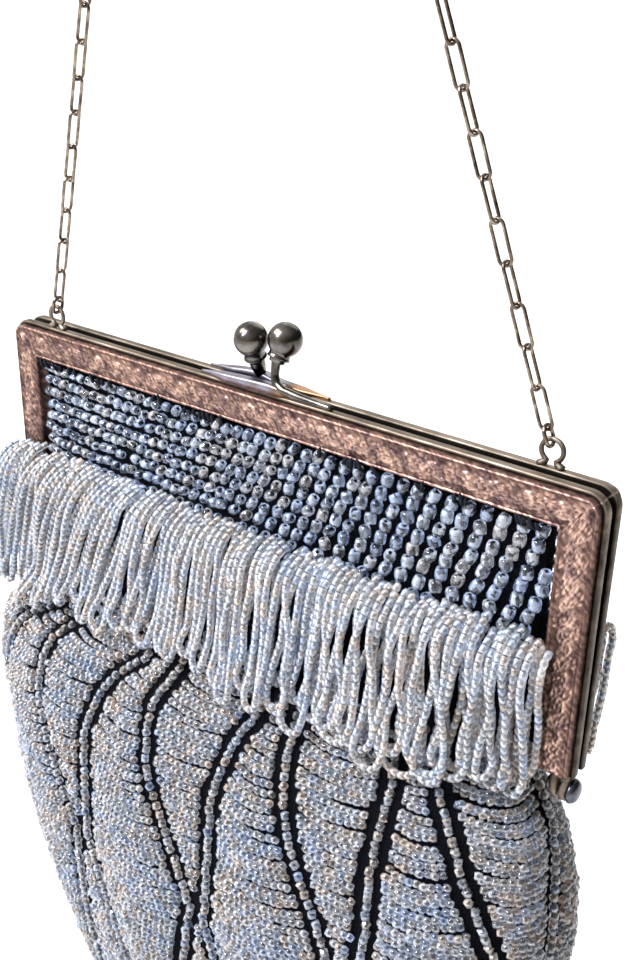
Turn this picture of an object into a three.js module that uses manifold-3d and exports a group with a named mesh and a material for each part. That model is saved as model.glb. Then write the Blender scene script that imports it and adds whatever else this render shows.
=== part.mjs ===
// Beaded evening bag: a fringed cloth pouch in a hinged metal frame with a ball clasp, hung by its chain.
// Millimetres, +Z up, +X to the right of someone facing the bag, whose front looks along -Y.
// Sizes are laid out from the middle of the frame: x = 0 on its centre line, y = 0 between its two halves,
// z = 0 at the top edge of the relief plates. The group is then moved so that the origin is the hanging point.

import * as THREE from 'three';
import { mergeVertices } from 'three/addons/utils/BufferGeometryUtils.js';
import Module from 'manifold-3d';

// Clearances
const PIECE_GAP = 0.3;
const SOLDER = 0.2; // how far soldered metal runs into its neighbour

// Frame halves: a relief plate on a slightly larger rim
const PLATE_WIDTH = 132.6;
const PLATE_DEPTH = 1.3;
const PLATE_CORNER = 2;
const PLATE_BEVEL = 0.4;
const TOP_BAR = 6;
const ARM_BAR = 6.3;
const ARM_LENGTH = 50;
const RIM_PROUD = 0.9;
const RIM_DEPTH = 1.7;
const RIM_CORNER = 3.5;
const HALF_GAP = 1; // between the halves, at the hinges
const SPREAD_DEG = 1; // how far the back half leans open at the top

// Leaf scrolls cast along the plates
const LEAF_PITCH = 8;
const LEAF_LENGTH = 5.6;
const LEAF_WIDTH = 2.4;
const LEAF_HEIGHT = 0.35;
const LEAF_TILT_DEG = 32;

// Hinges: a lug on each half and a rivet through both
const HINGE_DROP = 4.3; // axis below the ends of the arms
const LUG_RADIUS = 2.1;
const LUG_THICK = 1.2;
const LUG_INNER_X = 63;
const LUG_GAP = 0.4;
const LUG_LAP = 2; // how far a lug runs up behind its arm
const RIVET_HOLE = 1;
const RIVET_SHANK = 0.7;
const RIVET_HEAD = 1.5;
const RIVET_DOME = 2.2;
const RIVET_HEAD_THICK = 0.7;
const RIVET_DOME_HIGH = 1.5;
const RIVET_SHOULDER = { radius: 0.8, height: 0.6 }; // where the dome turns over, as shares of its size
const RIVET_SIDES = 10;

// Eyes that carry the chain, left on the front half and right on the back half
const EYE_X = 55;
const EYE_RISE = 2.6; // ring's centre above the rim
const EYE_RADIUS = 1.9;
const EYE_WIRE = 0.8;
const EYE_FOOT = 1.2;
const EYE_SIDES = 12;
const EYE_WIRE_SIDES = 6;

// Ball clasp: the front half's ball leans back and the back half's leans forward, so that they snap past
const BALL_RADIUS = 3.15;
const COLLAR_HIGH = 1.5;
const COLLAR_RADIUS = 2.1;
const COLLAR_STEP = 1.5;
const WING_FRONT = 1.6; // depth of the soldered base along the rim
const WING_EDGE = 0.25;
const BALL_SIDES = 12;
const BALL_STEPS = 6;
const STEM_SIDES = 8;
const FRONT_WING = [
  { x: -15, high: 0.3 },
  { x: -11, high: 0.8 },
  { x: -1, high: 1 },
  { x: 2.9, high: 1.6 },
  { x: 5.5, high: 0.9 },
  { x: 15.5, high: 0.2 },
];
const FRONT_STEM = [
  { x: 3.1, y: -1.2, z: 1.6, radius: 0.7 },
  { x: 2.4, y: -1.15, z: 3.1, radius: 0.72 },
  { x: 2.3, y: -1.05, z: 5, radius: 0.74 },
  { x: 2.3, y: -0.6, z: 6.9, radius: 0.85 },
];
const FRONT_NECK = new THREE.Vector3(2.3, -0.6, 6.4);
const FRONT_BALL = new THREE.Vector3(3, 0.9, 10.3);
// The back clasp is given in the front half's place, and turns about z with its half
const BACK_WING = [
  { x: -12, high: 0.3 },
  { x: 0, high: 0.9 },
  { x: 3.5, high: 1.8 },
  { x: 6.5, high: 1.6 },
  { x: 16, high: 0.3 },
];
const BACK_STEM = [
  { x: 3.7, y: -1.25, z: 1.6, radius: 0.8 },
  { x: 3.7, y: -0.75, z: 3.2, radius: 1.3 },
  { x: 3.7, y: 0.2, z: 5.4, radius: 1.5 },
];
const BACK_NECK = new THREE.Vector3(3.7, 0.1, 5);
const BACK_BALL = new THREE.Vector3(3.6, 1.75, 9.4);

// Chain: long oval links between two round jump rings
const LINK_PITCH = 6.35;
const LINK_WIRE = 0.6;
const LINK_RADIUS = 1.1;
const JUMP_WIRE = 0.7;
const JUMP_RADIUS = 1.15;
const JUMP_PITCH = 2.6;
const LINK_SIDES = 10;
const WIRE_SIDES = 5;
const LINK_NECK = 0.2; // solder between neighbouring links where they bear
const STRANDS_MEET = new THREE.Vector3(-7.5, -7, 178.6);
const TURN_RADIUS = 12; // bend of the chain over the hanging point

// Pouch: closed oval sections from the mouth to the hem
const CLOTH = 1.2;
const POUCH_COLUMNS = 60;
const HOLLOW_COLUMNS = 24;
const FOLD_PITCH = 32;
const FOLD_HIGH = 1.1;
const MOUTH_CUT = 3; // how far the hollow runs out of the mouth
const NECK_ROWS = 5; // sections of the neck, above the belly
const POUCH_SECTIONS = [
  { z: -6.5, halfWidth: 59.6, halfDepth: 3.5, square: 6, lean: 0, fold: 0 },
  { z: -24, halfWidth: 59.5, halfDepth: 4.6, square: 5, lean: 0, fold: 0 },
  { z: -38, halfWidth: 59.4, halfDepth: 7.4, square: 3.4, lean: 0, fold: 0 },
  { z: -50, halfWidth: 59.4, halfDepth: 11, square: 2.8, lean: 0, fold: 0.2 },
  { z: -57, halfWidth: 60.6, halfDepth: 14, square: 2.8, lean: -0.8, fold: 0.5 },
  { z: -62, halfWidth: 66, halfDepth: 16, square: 2.8, lean: -2.8, fold: 0.8 },
  { z: -74, halfWidth: 71, halfDepth: 20.5, square: 2.7, lean: -4.2, fold: 1 },
  { z: -90, halfWidth: 71.5, halfDepth: 23.5, square: 2.7, lean: -1.8, fold: 1 },
  { z: -110, halfWidth: 66.8, halfDepth: 24, square: 2.7, lean: -0.8, fold: 1 },
  { z: -132, halfWidth: 59.5, halfDepth: 23, square: 2.7, lean: -0.4, fold: 1 },
  { z: -155, halfWidth: 51, halfDepth: 20.5, square: 2.6, lean: 0, fold: 1 },
  { z: -174, halfWidth: 44, halfDepth: 16, square: 2.5, lean: 0, fold: 0.8 },
  { z: -187, halfWidth: 36, halfDepth: 10.5, square: 2.3, lean: 0, fold: 0.5 },
  { z: -193, halfWidth: 24, halfDepth: 5.5, square: 2.2, lean: 0, fold: 0 },
];

// Fringe: locks of bead loops under a sewn heading
const FRINGE_TOP = -25.4;
const HEADING_HIGH = 3.2;
const HEADING_THICK = 2;
const HEADING_STATIONS = 9;
const LOCK_THICK = 3.8;
const LOCK_SLIT = 0.5;
const LOCK_SAG = 2; // a lock clears the pouch as it is this far below
const LOCK_SIDES = 6;
const FRINGE_LEFT = -66;
const FRINGE_RIGHT = 62;
const LOCK_FAN_LEFT = 7; // how far the outermost lock sweeps aside
const LOCK_FAN_RIGHT = 3;
const LOCK_LENGTH = 28;
const LOCK_SECTIONS = [
  { drop: 0.02, width: 0.8, thick: 0.5 },
  { drop: 0.27, width: 1, thick: 1 },
  { drop: 0.86, width: 1, thick: 1 },
  { drop: 1, width: 0.55, thick: 0.5 },
];
const LOCK_CUTS = [1, 0.96, 1.02, 0.94, 0.97, 0.92, 0.98, 1.05, 1.1, 1.07, 1.1, 1.01]; // length of each lock

// Sizes that follow from those above
const FRONT = -1; // the front half lies towards -Y
const PLATE_HALF = PLATE_WIDTH / 2;
const RIM_HALF = PLATE_HALF + RIM_PROUD;
const RIM_Y = -HALF_GAP / 2 - RIM_DEPTH / 2;
const PLATE_FACE_Y = -HALF_GAP / 2 - RIM_DEPTH - PLATE_DEPTH;
const HINGE_Z = -ARM_LENGTH - HINGE_DROP;
const EYE_Z = RIM_PROUD + EYE_RISE;
const WIRE_FLAT = Math.cos(Math.PI / WIRE_SIDES); // inner flat of a wire's section, as a share of its radius
const X_AXIS = new THREE.Vector3(1, 0, 0);
const Y_AXIS = new THREE.Vector3(0, 1, 0);

const wasm = await Module();
wasm.setup();

const MATERIALS = {
  relief: new THREE.MeshStandardMaterial({ color: 0x8f6a5c, roughness: 0.4, metalness: 1 }),
  clasp: new THREE.MeshStandardMaterial({ color: 0x7d7a78, roughness: 0.2, metalness: 1 }),
  rivet: new THREE.MeshStandardMaterial({ color: 0x54565a, roughness: 0.35, metalness: 1 }),
  chain: new THREE.MeshStandardMaterial({ color: 0x8a7c6c, roughness: 0.35, metalness: 1 }),
  beadedCloth: new THREE.MeshStandardMaterial({ color: 0x6f7480, roughness: 0.4, metalness: 0 }),
  glassFringe: new THREE.MeshStandardMaterial({ color: 0xc3c8d2, roughness: 0.15, metalness: 0 }),
};

// Turns a closed geometry into a solid that can be joined and cut
function solidOf(geometry) {
  geometry.deleteAttribute('normal');
  geometry.deleteAttribute('uv');
  const merged = mergeVertices(geometry, 1e-4);
  const corners = merged.index.array;
  const kept = [];
  for (let i = 0; i < corners.length; i += 3) {
    const [a, b, c] = corners.slice(i, i + 3);
    if (a !== b && b !== c && c !== a) kept.push(a, b, c);
  }
  return new wasm.Manifold(new wasm.Mesh({
    numProp: 3,
    vertProperties: new Float32Array(merged.attributes.position.array),
    triVerts: new Uint32Array(kept),
  }));
}

function geometryOf(solid) {
  const mesh = solid.getMesh();
  const geometry = new THREE.BufferGeometry();
  geometry.setAttribute('position', new THREE.BufferAttribute(mesh.vertProperties, 3));
  geometry.setIndex(new THREE.BufferAttribute(mesh.triVerts, 1));
  return geometry;
}

function joined(solids) {
  return solids.reduce((whole, next) => whole.add(next));
}

function piece(name, solid, material) {
  const mesh = new THREE.Mesh(geometryOf(solid), material);
  mesh.name = name;
  return mesh;
}

// Skins rings of points, each anticlockwise about the way from the first ring to the last, and caps both ends
function loft(rings) {
  const count = rings[0].length;
  const points = rings.flat();
  const faces = [];
  for (let i = 0; i < rings.length - 1; i += 1) {
    for (let j = 0; j < count; j += 1) {
      const a = i * count + j;
      const b = i * count + (j + 1) % count;
      faces.push(a, b, b + count, a, b + count, a + count);
    }
  }
  const last = (rings.length - 1) * count;
  for (let j = 1; j < count - 1; j += 1) {
    faces.push(0, j + 1, j);
    faces.push(last, last + j, last + j + 1);
  }
  const geometry = new THREE.BufferGeometry().setFromPoints(points);
  geometry.setIndex(faces);
  return solidOf(geometry);
}

// Revolves a profile of [radius, height] pairs, with height running from base along the direction given
function turned(profile, segments, base, direction) {
  const geometry = new THREE.LatheGeometry(profile.map(([r, h]) => new THREE.Vector2(r, h)), segments);
  geometry.applyQuaternion(new THREE.Quaternion().setFromUnitVectors(Y_AXIS, direction));
  geometry.translate(base.x, base.y, base.z);
  return solidOf(geometry);
}

// Extrudes an outline drawn in x and z from y = back towards the front
function fromFront(shape, depth, back, bevel = 0) {
  const geometry = new THREE.ExtrudeGeometry(shape, {
    depth: depth - 2 * bevel,
    curveSegments: 3,
    bevelEnabled: bevel > 0,
    bevelThickness: bevel,
    bevelSize: bevel,
    bevelOffset: -bevel,
    bevelSegments: 1,
  });
  geometry.rotateX(Math.PI / 2);
  geometry.translate(0, back - bevel, 0);
  return solidOf(geometry);
}

// Outline of a top bar with an arm at each end, its outer corners rounded
function archOutline(halfWidth, top, corner) {
  const innerX = PLATE_HALF - ARM_BAR;
  const shape = new THREE.Shape();
  shape.moveTo(halfWidth, -ARM_LENGTH);
  shape.lineTo(halfWidth, top - corner);
  shape.absarc(halfWidth - corner, top - corner, corner, 0, Math.PI / 2, false);
  shape.lineTo(corner - halfWidth, top);
  shape.absarc(corner - halfWidth, top - corner, corner, Math.PI / 2, Math.PI, false);
  shape.lineTo(-halfWidth, -ARM_LENGTH);
  shape.lineTo(-innerX, -ARM_LENGTH);
  shape.lineTo(-innerX, -TOP_BAR);
  shape.lineTo(innerX, -TOP_BAR);
  shape.lineTo(innerX, -ARM_LENGTH);
  return shape;
}

// One cast leaf, a low diamond standing half out of the plate, turned in the plane of the plate
function leaf(x, z, turnDeg) {
  const geometry = new THREE.OctahedronGeometry(1);
  geometry.scale(LEAF_LENGTH / 2, LEAF_HEIGHT, LEAF_WIDTH / 2);
  geometry.rotateY(THREE.MathUtils.degToRad(turnDeg));
  geometry.translate(x, PLATE_FACE_Y, z);
  return solidOf(geometry);
}

// Leaves that nod to alternate sides along the top bar and down both arms
function leafScrolls() {
  const leaves = [];
  const topCount = Math.floor((PLATE_WIDTH - 2 * ARM_BAR) / LEAF_PITCH);
  for (let i = 0; i < topCount; i += 1) {
    const nod = i % 2 ? LEAF_TILT_DEG : -LEAF_TILT_DEG;
    leaves.push(leaf((i - (topCount - 1) / 2) * LEAF_PITCH, -TOP_BAR / 2, nod));
  }
  const armCount = Math.floor((ARM_LENGTH - TOP_BAR) / LEAF_PITCH);
  for (const side of [-1, 1]) {
    for (let i = 0; i < armCount; i += 1) {
      const nod = i % 2 ? LEAF_TILT_DEG : -LEAF_TILT_DEG;
      leaves.push(leaf(side * (PLATE_HALF - ARM_BAR / 2), -TOP_BAR - (i + 0.5) * LEAF_PITCH, 90 + nod));
    }
  }
  return leaves;
}

// Lug under an arm: a tab from the rim down to a round end about the hinge axis, drilled for the rivet
function hingeLug(lowX) {
  const tab = new THREE.Shape();
  tab.moveTo(RIM_Y - RIM_DEPTH / 2 + SOLDER, -ARM_LENGTH + LUG_LAP);
  tab.lineTo(-LUG_RADIUS, HINGE_Z);
  tab.absarc(0, HINGE_Z, LUG_RADIUS, Math.PI, 2 * Math.PI, false);
  tab.lineTo(RIM_Y + RIM_DEPTH / 2 - SOLDER, -ARM_LENGTH - SOLDER);
  tab.lineTo(RIM_Y + RIM_DEPTH / 2 - SOLDER, -ARM_LENGTH + LUG_LAP);
  const hole = new THREE.Path();
  hole.absarc(0, HINGE_Z, RIVET_HOLE, 0, 2 * Math.PI, true);
  tab.holes.push(hole);
  const geometry = new THREE.ExtrudeGeometry(tab, { depth: LUG_THICK, curveSegments: 5, bevelEnabled: false });
  geometry.rotateX(Math.PI / 2);
  geometry.rotateZ(Math.PI / 2);
  geometry.translate(lowX, 0, 0);
  return solidOf(geometry);
}

// Wire ring standing on the rim, with a flared foot soldered to it
function chainEye() {
  const ring = new THREE.TorusGeometry(EYE_RADIUS, EYE_WIRE / 2, EYE_WIRE_SIDES, EYE_SIDES);
  ring.rotateX(Math.PI / 2);
  ring.translate(-EYE_X, RIM_Y, EYE_Z);
  const footHigh = EYE_RISE - EYE_RADIUS + 2 * SOLDER;
  const foot = new THREE.CylinderGeometry(EYE_WIRE, EYE_FOOT, footHigh, EYE_SIDES);
  foot.rotateX(Math.PI / 2);
  foot.scale(1, RIM_DEPTH / 2 / EYE_FOOT, 1);
  foot.translate(-EYE_X, RIM_Y, RIM_PROUD - SOLDER + footHigh / 2);
  return [solidOf(ring), solidOf(foot)];
}

// One half of the frame, drawn as the front one. Its left lugs lie outside and its right lugs inside,
// so that the same half turned about z has its lugs beside them
function frameHalf() {
  const rim = fromFront(archOutline(RIM_HALF, RIM_PROUD, RIM_CORNER), RIM_DEPTH, -HALF_GAP / 2);
  const plateBack = -HALF_GAP / 2 - RIM_DEPTH + SOLDER;
  const plate = fromFront(archOutline(PLATE_HALF, 0, PLATE_CORNER), PLATE_DEPTH + SOLDER, plateBack, PLATE_BEVEL);
  const lugs = [hingeLug(LUG_INNER_X), hingeLug(-LUG_INNER_X - LUG_GAP - 2 * LUG_THICK)];
  return joined([rim, plate, ...leafScrolls(), ...lugs, ...chainEye()]);
}

// Hinge rivet along x: a flat head inside the lugs, a shank through them and a dome outside
function hingeRivet(side) {
  const inner = LUG_INNER_X - PIECE_GAP;
  const outer = LUG_INNER_X + LUG_GAP + 2 * LUG_THICK + PIECE_GAP;
  const profile = [
    [0, inner - RIVET_HEAD_THICK],
    [RIVET_HEAD, inner - RIVET_HEAD_THICK],
    [RIVET_HEAD, inner],
    [RIVET_SHANK, inner],
    [RIVET_SHANK, outer],
    [RIVET_DOME, outer],
    [RIVET_DOME * RIVET_SHOULDER.radius, outer + RIVET_DOME_HIGH * RIVET_SHOULDER.height],
    [0, outer + RIVET_DOME_HIGH],
  ];
  const base = new THREE.Vector3(0, 0, HINGE_Z);
  return turned(profile, RIVET_SIDES, base, X_AXIS.clone().multiplyScalar(side));
}

// Tapered base that lies along the rim, rising from both tips to the stem, with a face that leans back
function claspWing(crest) {
  const bottom = RIM_PROUD + PIECE_GAP;
  const near = RIM_Y - WING_FRONT / 2;
  const far = RIM_Y + WING_FRONT / 2;
  const rings = crest.map(({ x, high }) => [
    new THREE.Vector3(x, near, bottom),
    new THREE.Vector3(x, far, bottom),
    new THREE.Vector3(x, far, bottom + high),
    new THREE.Vector3(x, near, bottom + Math.min(WING_EDGE, high)),
  ]);
  return loft(rings);
}

// Round stem through points with a radius each
function claspStem(stations) {
  const rings = stations.map(({ x, y, z, radius }) => {
    const ring = [];
    for (let j = 0; j < STEM_SIDES; j += 1) {
      const angle = (2 * Math.PI * j) / STEM_SIDES;
      ring.push(new THREE.Vector3(x + radius * Math.cos(angle), y + radius * Math.sin(angle), z));
    }
    return ring;
  });
  return loft(rings);
}

// Stepped collar and ball in one turned piece, from the neck towards the ball's centre
function claspBall(neck, centre) {
  const direction = centre.clone().sub(neck);
  const reach = direction.length();
  const profile = [
    [0, 0],
    [COLLAR_STEP, 0],
    [COLLAR_STEP, COLLAR_HIGH / 2],
    [COLLAR_RADIUS, COLLAR_HIGH / 2],
  ];
  const start = Math.asin(COLLAR_RADIUS / BALL_RADIUS);
  for (let i = 0; i < BALL_STEPS; i += 1) {
    const angle = Math.PI - start - ((Math.PI - start) * i) / BALL_STEPS;
    profile.push([BALL_RADIUS * Math.sin(angle), reach + BALL_RADIUS * Math.cos(angle)]);
  }
  profile.push([0, reach + BALL_RADIUS]);
  return turned(profile, BALL_SIDES, neck, direction.normalize());
}

function clasp(crest, stations, neck, centre) {
  return joined([claspWing(crest), claspStem(stations), claspBall(neck, centre)]);
}

// Sections of an oval link's wire between two bearing points: a ring parted in the middle and drawn out along
// its length. Each section has a flat side, its points 0 and 1, turned to the inside of the link
function linkSections({ from, to, normal, radius, wire }) {
  const along = to.clone().sub(from);
  const halfStep = Math.PI / LINK_SIDES;
  const drawn = (along.length() + LINK_NECK) / 2 - (radius - WIRE_FLAT * (wire / 2)) * Math.cos(halfStep);
  const middle = from.clone().add(to).multiplyScalar(0.5);
  along.normalize();
  const flat = normal.clone().projectOnPlane(along).normalize();
  const across = flat.clone().cross(along);
  const sections = [];
  for (let k = 0; k < LINK_SIDES; k += 1) {
    const turn = (2 * k + 1) * halfStep;
    const outward = along.clone().multiplyScalar(Math.cos(turn)).addScaledVector(across, Math.sin(turn));
    const centre = middle.clone().addScaledVector(along, drawn * Math.sign(Math.cos(turn)));
    centre.addScaledVector(outward, radius);
    for (let j = 0; j < WIRE_SIDES; j += 1) {
      const angle = Math.PI - Math.PI / WIRE_SIDES + (2 * Math.PI * j) / WIRE_SIDES;
      const point = centre.clone().addScaledVector(outward, (wire / 2) * Math.cos(angle));
      sections.push(point.addScaledVector(flat, -(wire / 2) * Math.sin(angle)));
    }
  }
  return sections;
}

// Faces of a link whose first point has the index given, and the four corners of each end's inner flat.
// A flat that is soldered to the next link is left open
function linkFaces(first, solderedStart, solderedEnd) {
  const startFlat = LINK_SIDES / 2 - 1;
  const endFlat = LINK_SIDES - 1;
  const faces = [];
  const flats = {};
  for (let k = 0; k < LINK_SIDES; k += 1) {
    for (let j = 0; j < WIRE_SIDES; j += 1) {
      const here = first + k * WIRE_SIDES;
      const next = first + ((k + 1) % LINK_SIDES) * WIRE_SIDES;
      const beside = (j + 1) % WIRE_SIDES;
      const corners = [here + j, here + beside, next + beside, next + j];
      if (j === 0 && k === startFlat) flats.start = corners;
      if (j === 0 && k === endFlat) flats.end = corners;
      const open = j === 0 && ((k === startFlat && solderedStart) || (k === endFlat && solderedEnd));
      if (!open) faces.push(corners);
    }
  }
  return { faces, flats };
}

// Solder neck between two open flats that face each other: each corner goes to the one that lies nearest
function solderNeck(points, flatA, flatB) {
  const partner = (i, shift) => flatB[(shift + 4 - i) % 4];
  const reach = (shift) => flatA.reduce((sum, a, i) => sum + points[a].distanceTo(points[partner(i, shift)]), 0);
  const best = [0, 1, 2, 3].reduce((least, shift) => (reach(shift) < reach(least) ? shift : least));
  return flatA.map((a, i) => [a, flatA[(i + 1) % 4], partner(i + 1, best), partner(i, best)]);
}

// Path of the chain between its jump rings: two straight strands and a round turn over the hanging point
function chainPath(leftEye, rightEye) {
  const leftWay = STRANDS_MEET.clone().sub(leftEye).normalize();
  const rightWay = STRANDS_MEET.clone().sub(rightEye).normalize();
  const bearing = EYE_RADIUS - EYE_WIRE / 2 - PIECE_GAP - (JUMP_WIRE / 2) * (1 - WIRE_FLAT);
  const leftEnd = leftEye.clone().addScaledVector(leftWay, bearing);
  const rightEnd = rightEye.clone().addScaledVector(rightWay, bearing);
  const leftStart = leftEnd.clone().addScaledVector(leftWay, JUMP_PITCH);
  const rightStart = rightEnd.clone().addScaledVector(rightWay, JUMP_PITCH);
  const bend = Math.PI - leftWay.angleTo(rightWay);
  const reach = TURN_RADIUS * Math.tan(bend / 2);
  const handle = reach - TURN_RADIUS * (4 / 3) * Math.tan(bend / 4);
  const leftTurn = STRANDS_MEET.clone().addScaledVector(leftWay, -reach);
  const rightTurn = STRANDS_MEET.clone().addScaledVector(rightWay, -reach);
  const leftHandle = STRANDS_MEET.clone().addScaledVector(leftWay, -handle);
  const rightHandle = STRANDS_MEET.clone().addScaledVector(rightWay, -handle);
  const path = new THREE.CurvePath();
  path.add(new THREE.LineCurve3(leftStart, leftTurn));
  path.add(new THREE.CubicBezierCurve3(leftTurn, leftHandle, rightHandle, rightTurn));
  path.add(new THREE.LineCurve3(rightTurn, rightStart));
  return { path, leftEnd, rightEnd, hangingPoint: path.curves[1].getPoint(0.5) };
}

// Jump ring, an odd number of links each a quarter turn on from the last, and the other jump ring
function chain({ path, leftEnd, rightEnd }) {
  const pairs = Math.round((path.getLength() / LINK_PITCH - 1) / 2);
  const bearings = [leftEnd, ...path.getSpacedPoints(2 * pairs + 1), rightEnd];
  const last = bearings.length - 2;
  const points = [];
  const faces = [];
  let previousFlats = null;
  for (let i = 0; i <= last; i += 1) {
    const isJumpRing = i === 0 || i === last;
    const { faces: linkQuads, flats } = linkFaces(points.length, i > 0, i < last);
    points.push(...linkSections({
      from: bearings[i],
      to: bearings[i + 1],
      normal: i % 2 ? Y_AXIS : X_AXIS,
      radius: isJumpRing ? JUMP_RADIUS : LINK_RADIUS,
      wire: isJumpRing ? JUMP_WIRE : LINK_WIRE,
    }));
    faces.push(...linkQuads);
    if (previousFlats) faces.push(...solderNeck(points, previousFlats.end, flats.start));
    previousFlats = flats;
  }
  const geometry = new THREE.BufferGeometry().setFromPoints(points);
  geometry.setIndex(faces.flatMap(([a, b, c, d]) => [a, b, c, a, c, d]));
  return solidOf(geometry);
}

// Half-depth of a section at a place across it, by the superellipse that its squareness names
function depthAt(section, x) {
  const share = Math.min(Math.abs(x - section.lean) / section.halfWidth, 1);
  return section.halfDepth * (1 - share ** section.square) ** (1 / section.square);
}

// Ring of a section, taken in by an inset, with soft folds that stand out of its front and back
function pouchRing(section, inset, columns, foldHigh) {
  const shrunk = { ...section, halfWidth: section.halfWidth - inset, halfDepth: section.halfDepth - inset };
  const ring = [];
  for (let j = 0; j < columns; j += 1) {
    const angle = (-2 * Math.PI * j) / columns;
    const x = shrunk.lean + shrunk.halfWidth * Math.cos(angle);
    const side = Math.sign(Math.sin(angle));
    const wave = 0.5 - 0.5 * Math.cos((2 * Math.PI * x) / FOLD_PITCH);
    const fold = foldHigh * section.fold * Math.abs(Math.sin(angle)) * wave;
    ring.push(new THREE.Vector3(x, side * (depthAt(shrunk, x) + fold), section.z));
  }
  return ring;
}

// Pouch with a hollow that follows every section of the neck, where the profile is hollow-backed, and every
// other one of the belly, so that the wall is never under the cloth's thickness
function pouch() {
  const outer = loft(POUCH_SECTIONS.map((row) => pouchRing(row, 0, POUCH_COLUMNS, FOLD_HIGH)));
  const mouth = POUCH_SECTIONS[0];
  const hem = POUCH_SECTIONS.at(-1);
  const hollowRows = [
    { ...mouth, z: mouth.z + MOUTH_CUT },
    ...POUCH_SECTIONS.slice(0, -1).filter((row, i) => i < NECK_ROWS || i % 2 === 0),
    { ...hem, z: hem.z + CLOTH },
  ];
  return outer.subtract(loft(hollowRows.map((row) => pouchRing(row, CLOTH, HOLLOW_COLUMNS, 0))));
}

// Pouch surface in front at a place, straight between the two sections round it
function pouchFront(x, z) {
  const below = POUCH_SECTIONS.findIndex((row) => row.z <= z);
  const upper = POUCH_SECTIONS[below - 1];
  const lower = POUCH_SECTIONS[below];
  const share = (upper.z - z) / (upper.z - lower.z);
  const fold = FOLD_HIGH * THREE.MathUtils.lerp(upper.fold, lower.fold, share);
  return THREE.MathUtils.lerp(depthAt(upper, x), depthAt(lower, x), share) + fold;
}

// Middle of a layer that lies over the pouch and, at the sides, over the arms of the frame
function overlayY(x, z, thick) {
  const overFrame = -PLATE_FACE_Y + LEAF_HEIGHT;
  return FRONT * (Math.max(pouchFront(x, z), overFrame) + PIECE_GAP + thick / 2);
}

// Sewn heading: a strip across the front at the top of the fringe
function fringeHeading() {
  const rings = [];
  for (let i = 0; i < HEADING_STATIONS; i += 1) {
    const x = THREE.MathUtils.lerp(FRINGE_LEFT, FRINGE_RIGHT, i / (HEADING_STATIONS - 1));
    const y = overlayY(x, FRINGE_TOP - HEADING_HIGH, HEADING_THICK);
    rings.push([
      new THREE.Vector3(x, y - HEADING_THICK / 2, FRINGE_TOP - HEADING_HIGH),
      new THREE.Vector3(x, y + HEADING_THICK / 2, FRINGE_TOP - HEADING_HIGH),
      new THREE.Vector3(x, y + HEADING_THICK / 2, FRINGE_TOP),
      new THREE.Vector3(x, y - HEADING_THICK / 2, FRINGE_TOP),
    ]);
  }
  return loft(rings);
}

// One lock of bead loops: a flat oval section that swells out of the heading and rounds off below.
// Towards the ends of the fringe the locks sweep aside, soonest just under the heading
function fringeLock(index) {
  const pitch = (FRINGE_RIGHT - FRINGE_LEFT) / LOCK_CUTS.length;
  const topX = FRINGE_LEFT + (index + 0.5) * pitch;
  const across = index / (LOCK_CUTS.length - 1);
  const fan = LOCK_FAN_RIGHT * across ** 4 - LOCK_FAN_LEFT * (1 - across) ** 2;
  const rings = LOCK_SECTIONS.map((section) => {
    const z = FRINGE_TOP - LOCK_LENGTH * LOCK_CUTS[index] * section.drop;
    const x = topX + fan * Math.sin((Math.PI / 2) * section.drop);
    const halfWide = ((pitch - LOCK_SLIT) / 2) * section.width;
    const thick = LOCK_THICK * section.thick;
    const innerEdge = x - Math.sign(x) * (pitch / 2);
    const y = overlayY(innerEdge, z - LOCK_SAG, LOCK_THICK) - (LOCK_THICK - thick) / 4;
    const ring = [];
    for (let j = 0; j < LOCK_SIDES; j += 1) {
      const angle = (-2 * Math.PI * j) / LOCK_SIDES;
      ring.push(new THREE.Vector3(x + halfWide * Math.cos(angle), y + (thick / 2) * Math.sin(angle), z));
    }
    return ring;
  });
  return loft(rings);
}

function fringe() {
  const locks = LOCK_CUTS.map((cut, index) => fringeLock(index));
  return joined([fringeHeading(), ...locks]);
}

// Assembly: the back half with its clasp is the front's form turned about z, then leant open about the hinges
const spread = THREE.MathUtils.degToRad(-SPREAD_DEG);
const hinge = new THREE.Group();
hinge.position.z = HINGE_Z;
hinge.rotation.x = spread;
const backHalf = new THREE.Group();
backHalf.position.z = -HINGE_Z;
backHalf.rotation.z = Math.PI;
backHalf.add(
  piece('frame_back', frameHalf(), MATERIALS.relief),
  piece('clasp_back', clasp(BACK_WING, BACK_STEM, BACK_NECK, BACK_BALL), MATERIALS.clasp),
);
hinge.add(backHalf);

const leftEye = new THREE.Vector3(-EYE_X, RIM_Y, EYE_Z);
const rightEye = new THREE.Vector3(EYE_X, -RIM_Y, EYE_Z - HINGE_Z).applyAxisAngle(X_AXIS, spread);
rightEye.z += HINGE_Z;
const route = chainPath(leftEye, rightEye);

const backFringe = piece('fringe_back', fringe(), MATERIALS.glassFringe);
backFringe.rotation.z = Math.PI;

const bag = new THREE.Group();
bag.position.copy(route.hangingPoint).negate();
bag.add(
  piece('frame_front', frameHalf(), MATERIALS.relief),
  hinge,
  piece('hinge_rivet_left', hingeRivet(-1), MATERIALS.rivet),
  piece('hinge_rivet_right', hingeRivet(1), MATERIALS.rivet),
  piece('clasp_front', clasp(FRONT_WING, FRONT_STEM, FRONT_NECK, FRONT_BALL), MATERIALS.clasp),
  piece('chain', chain(route), MATERIALS.chain),
  piece('bag_body', pouch(), MATERIALS.beadedCloth),
  piece('fringe_front', fringe(), MATERIALS.glassFringe),
  backFringe,
);

const beadedBag = new THREE.Group();
beadedBag.add(bag);

export default beadedBag;
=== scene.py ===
"""Looks of a beaded evening bag: glass seed beads on black cloth, in a cast relief frame hung by a chain.

Lengths are millimetres in the bag's own coordinates until a mesh is made: x runs to the right along the
frame, y from the front (negative) to the back with 0 between the halves, and z up from the plates' top edge.
"""

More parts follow.
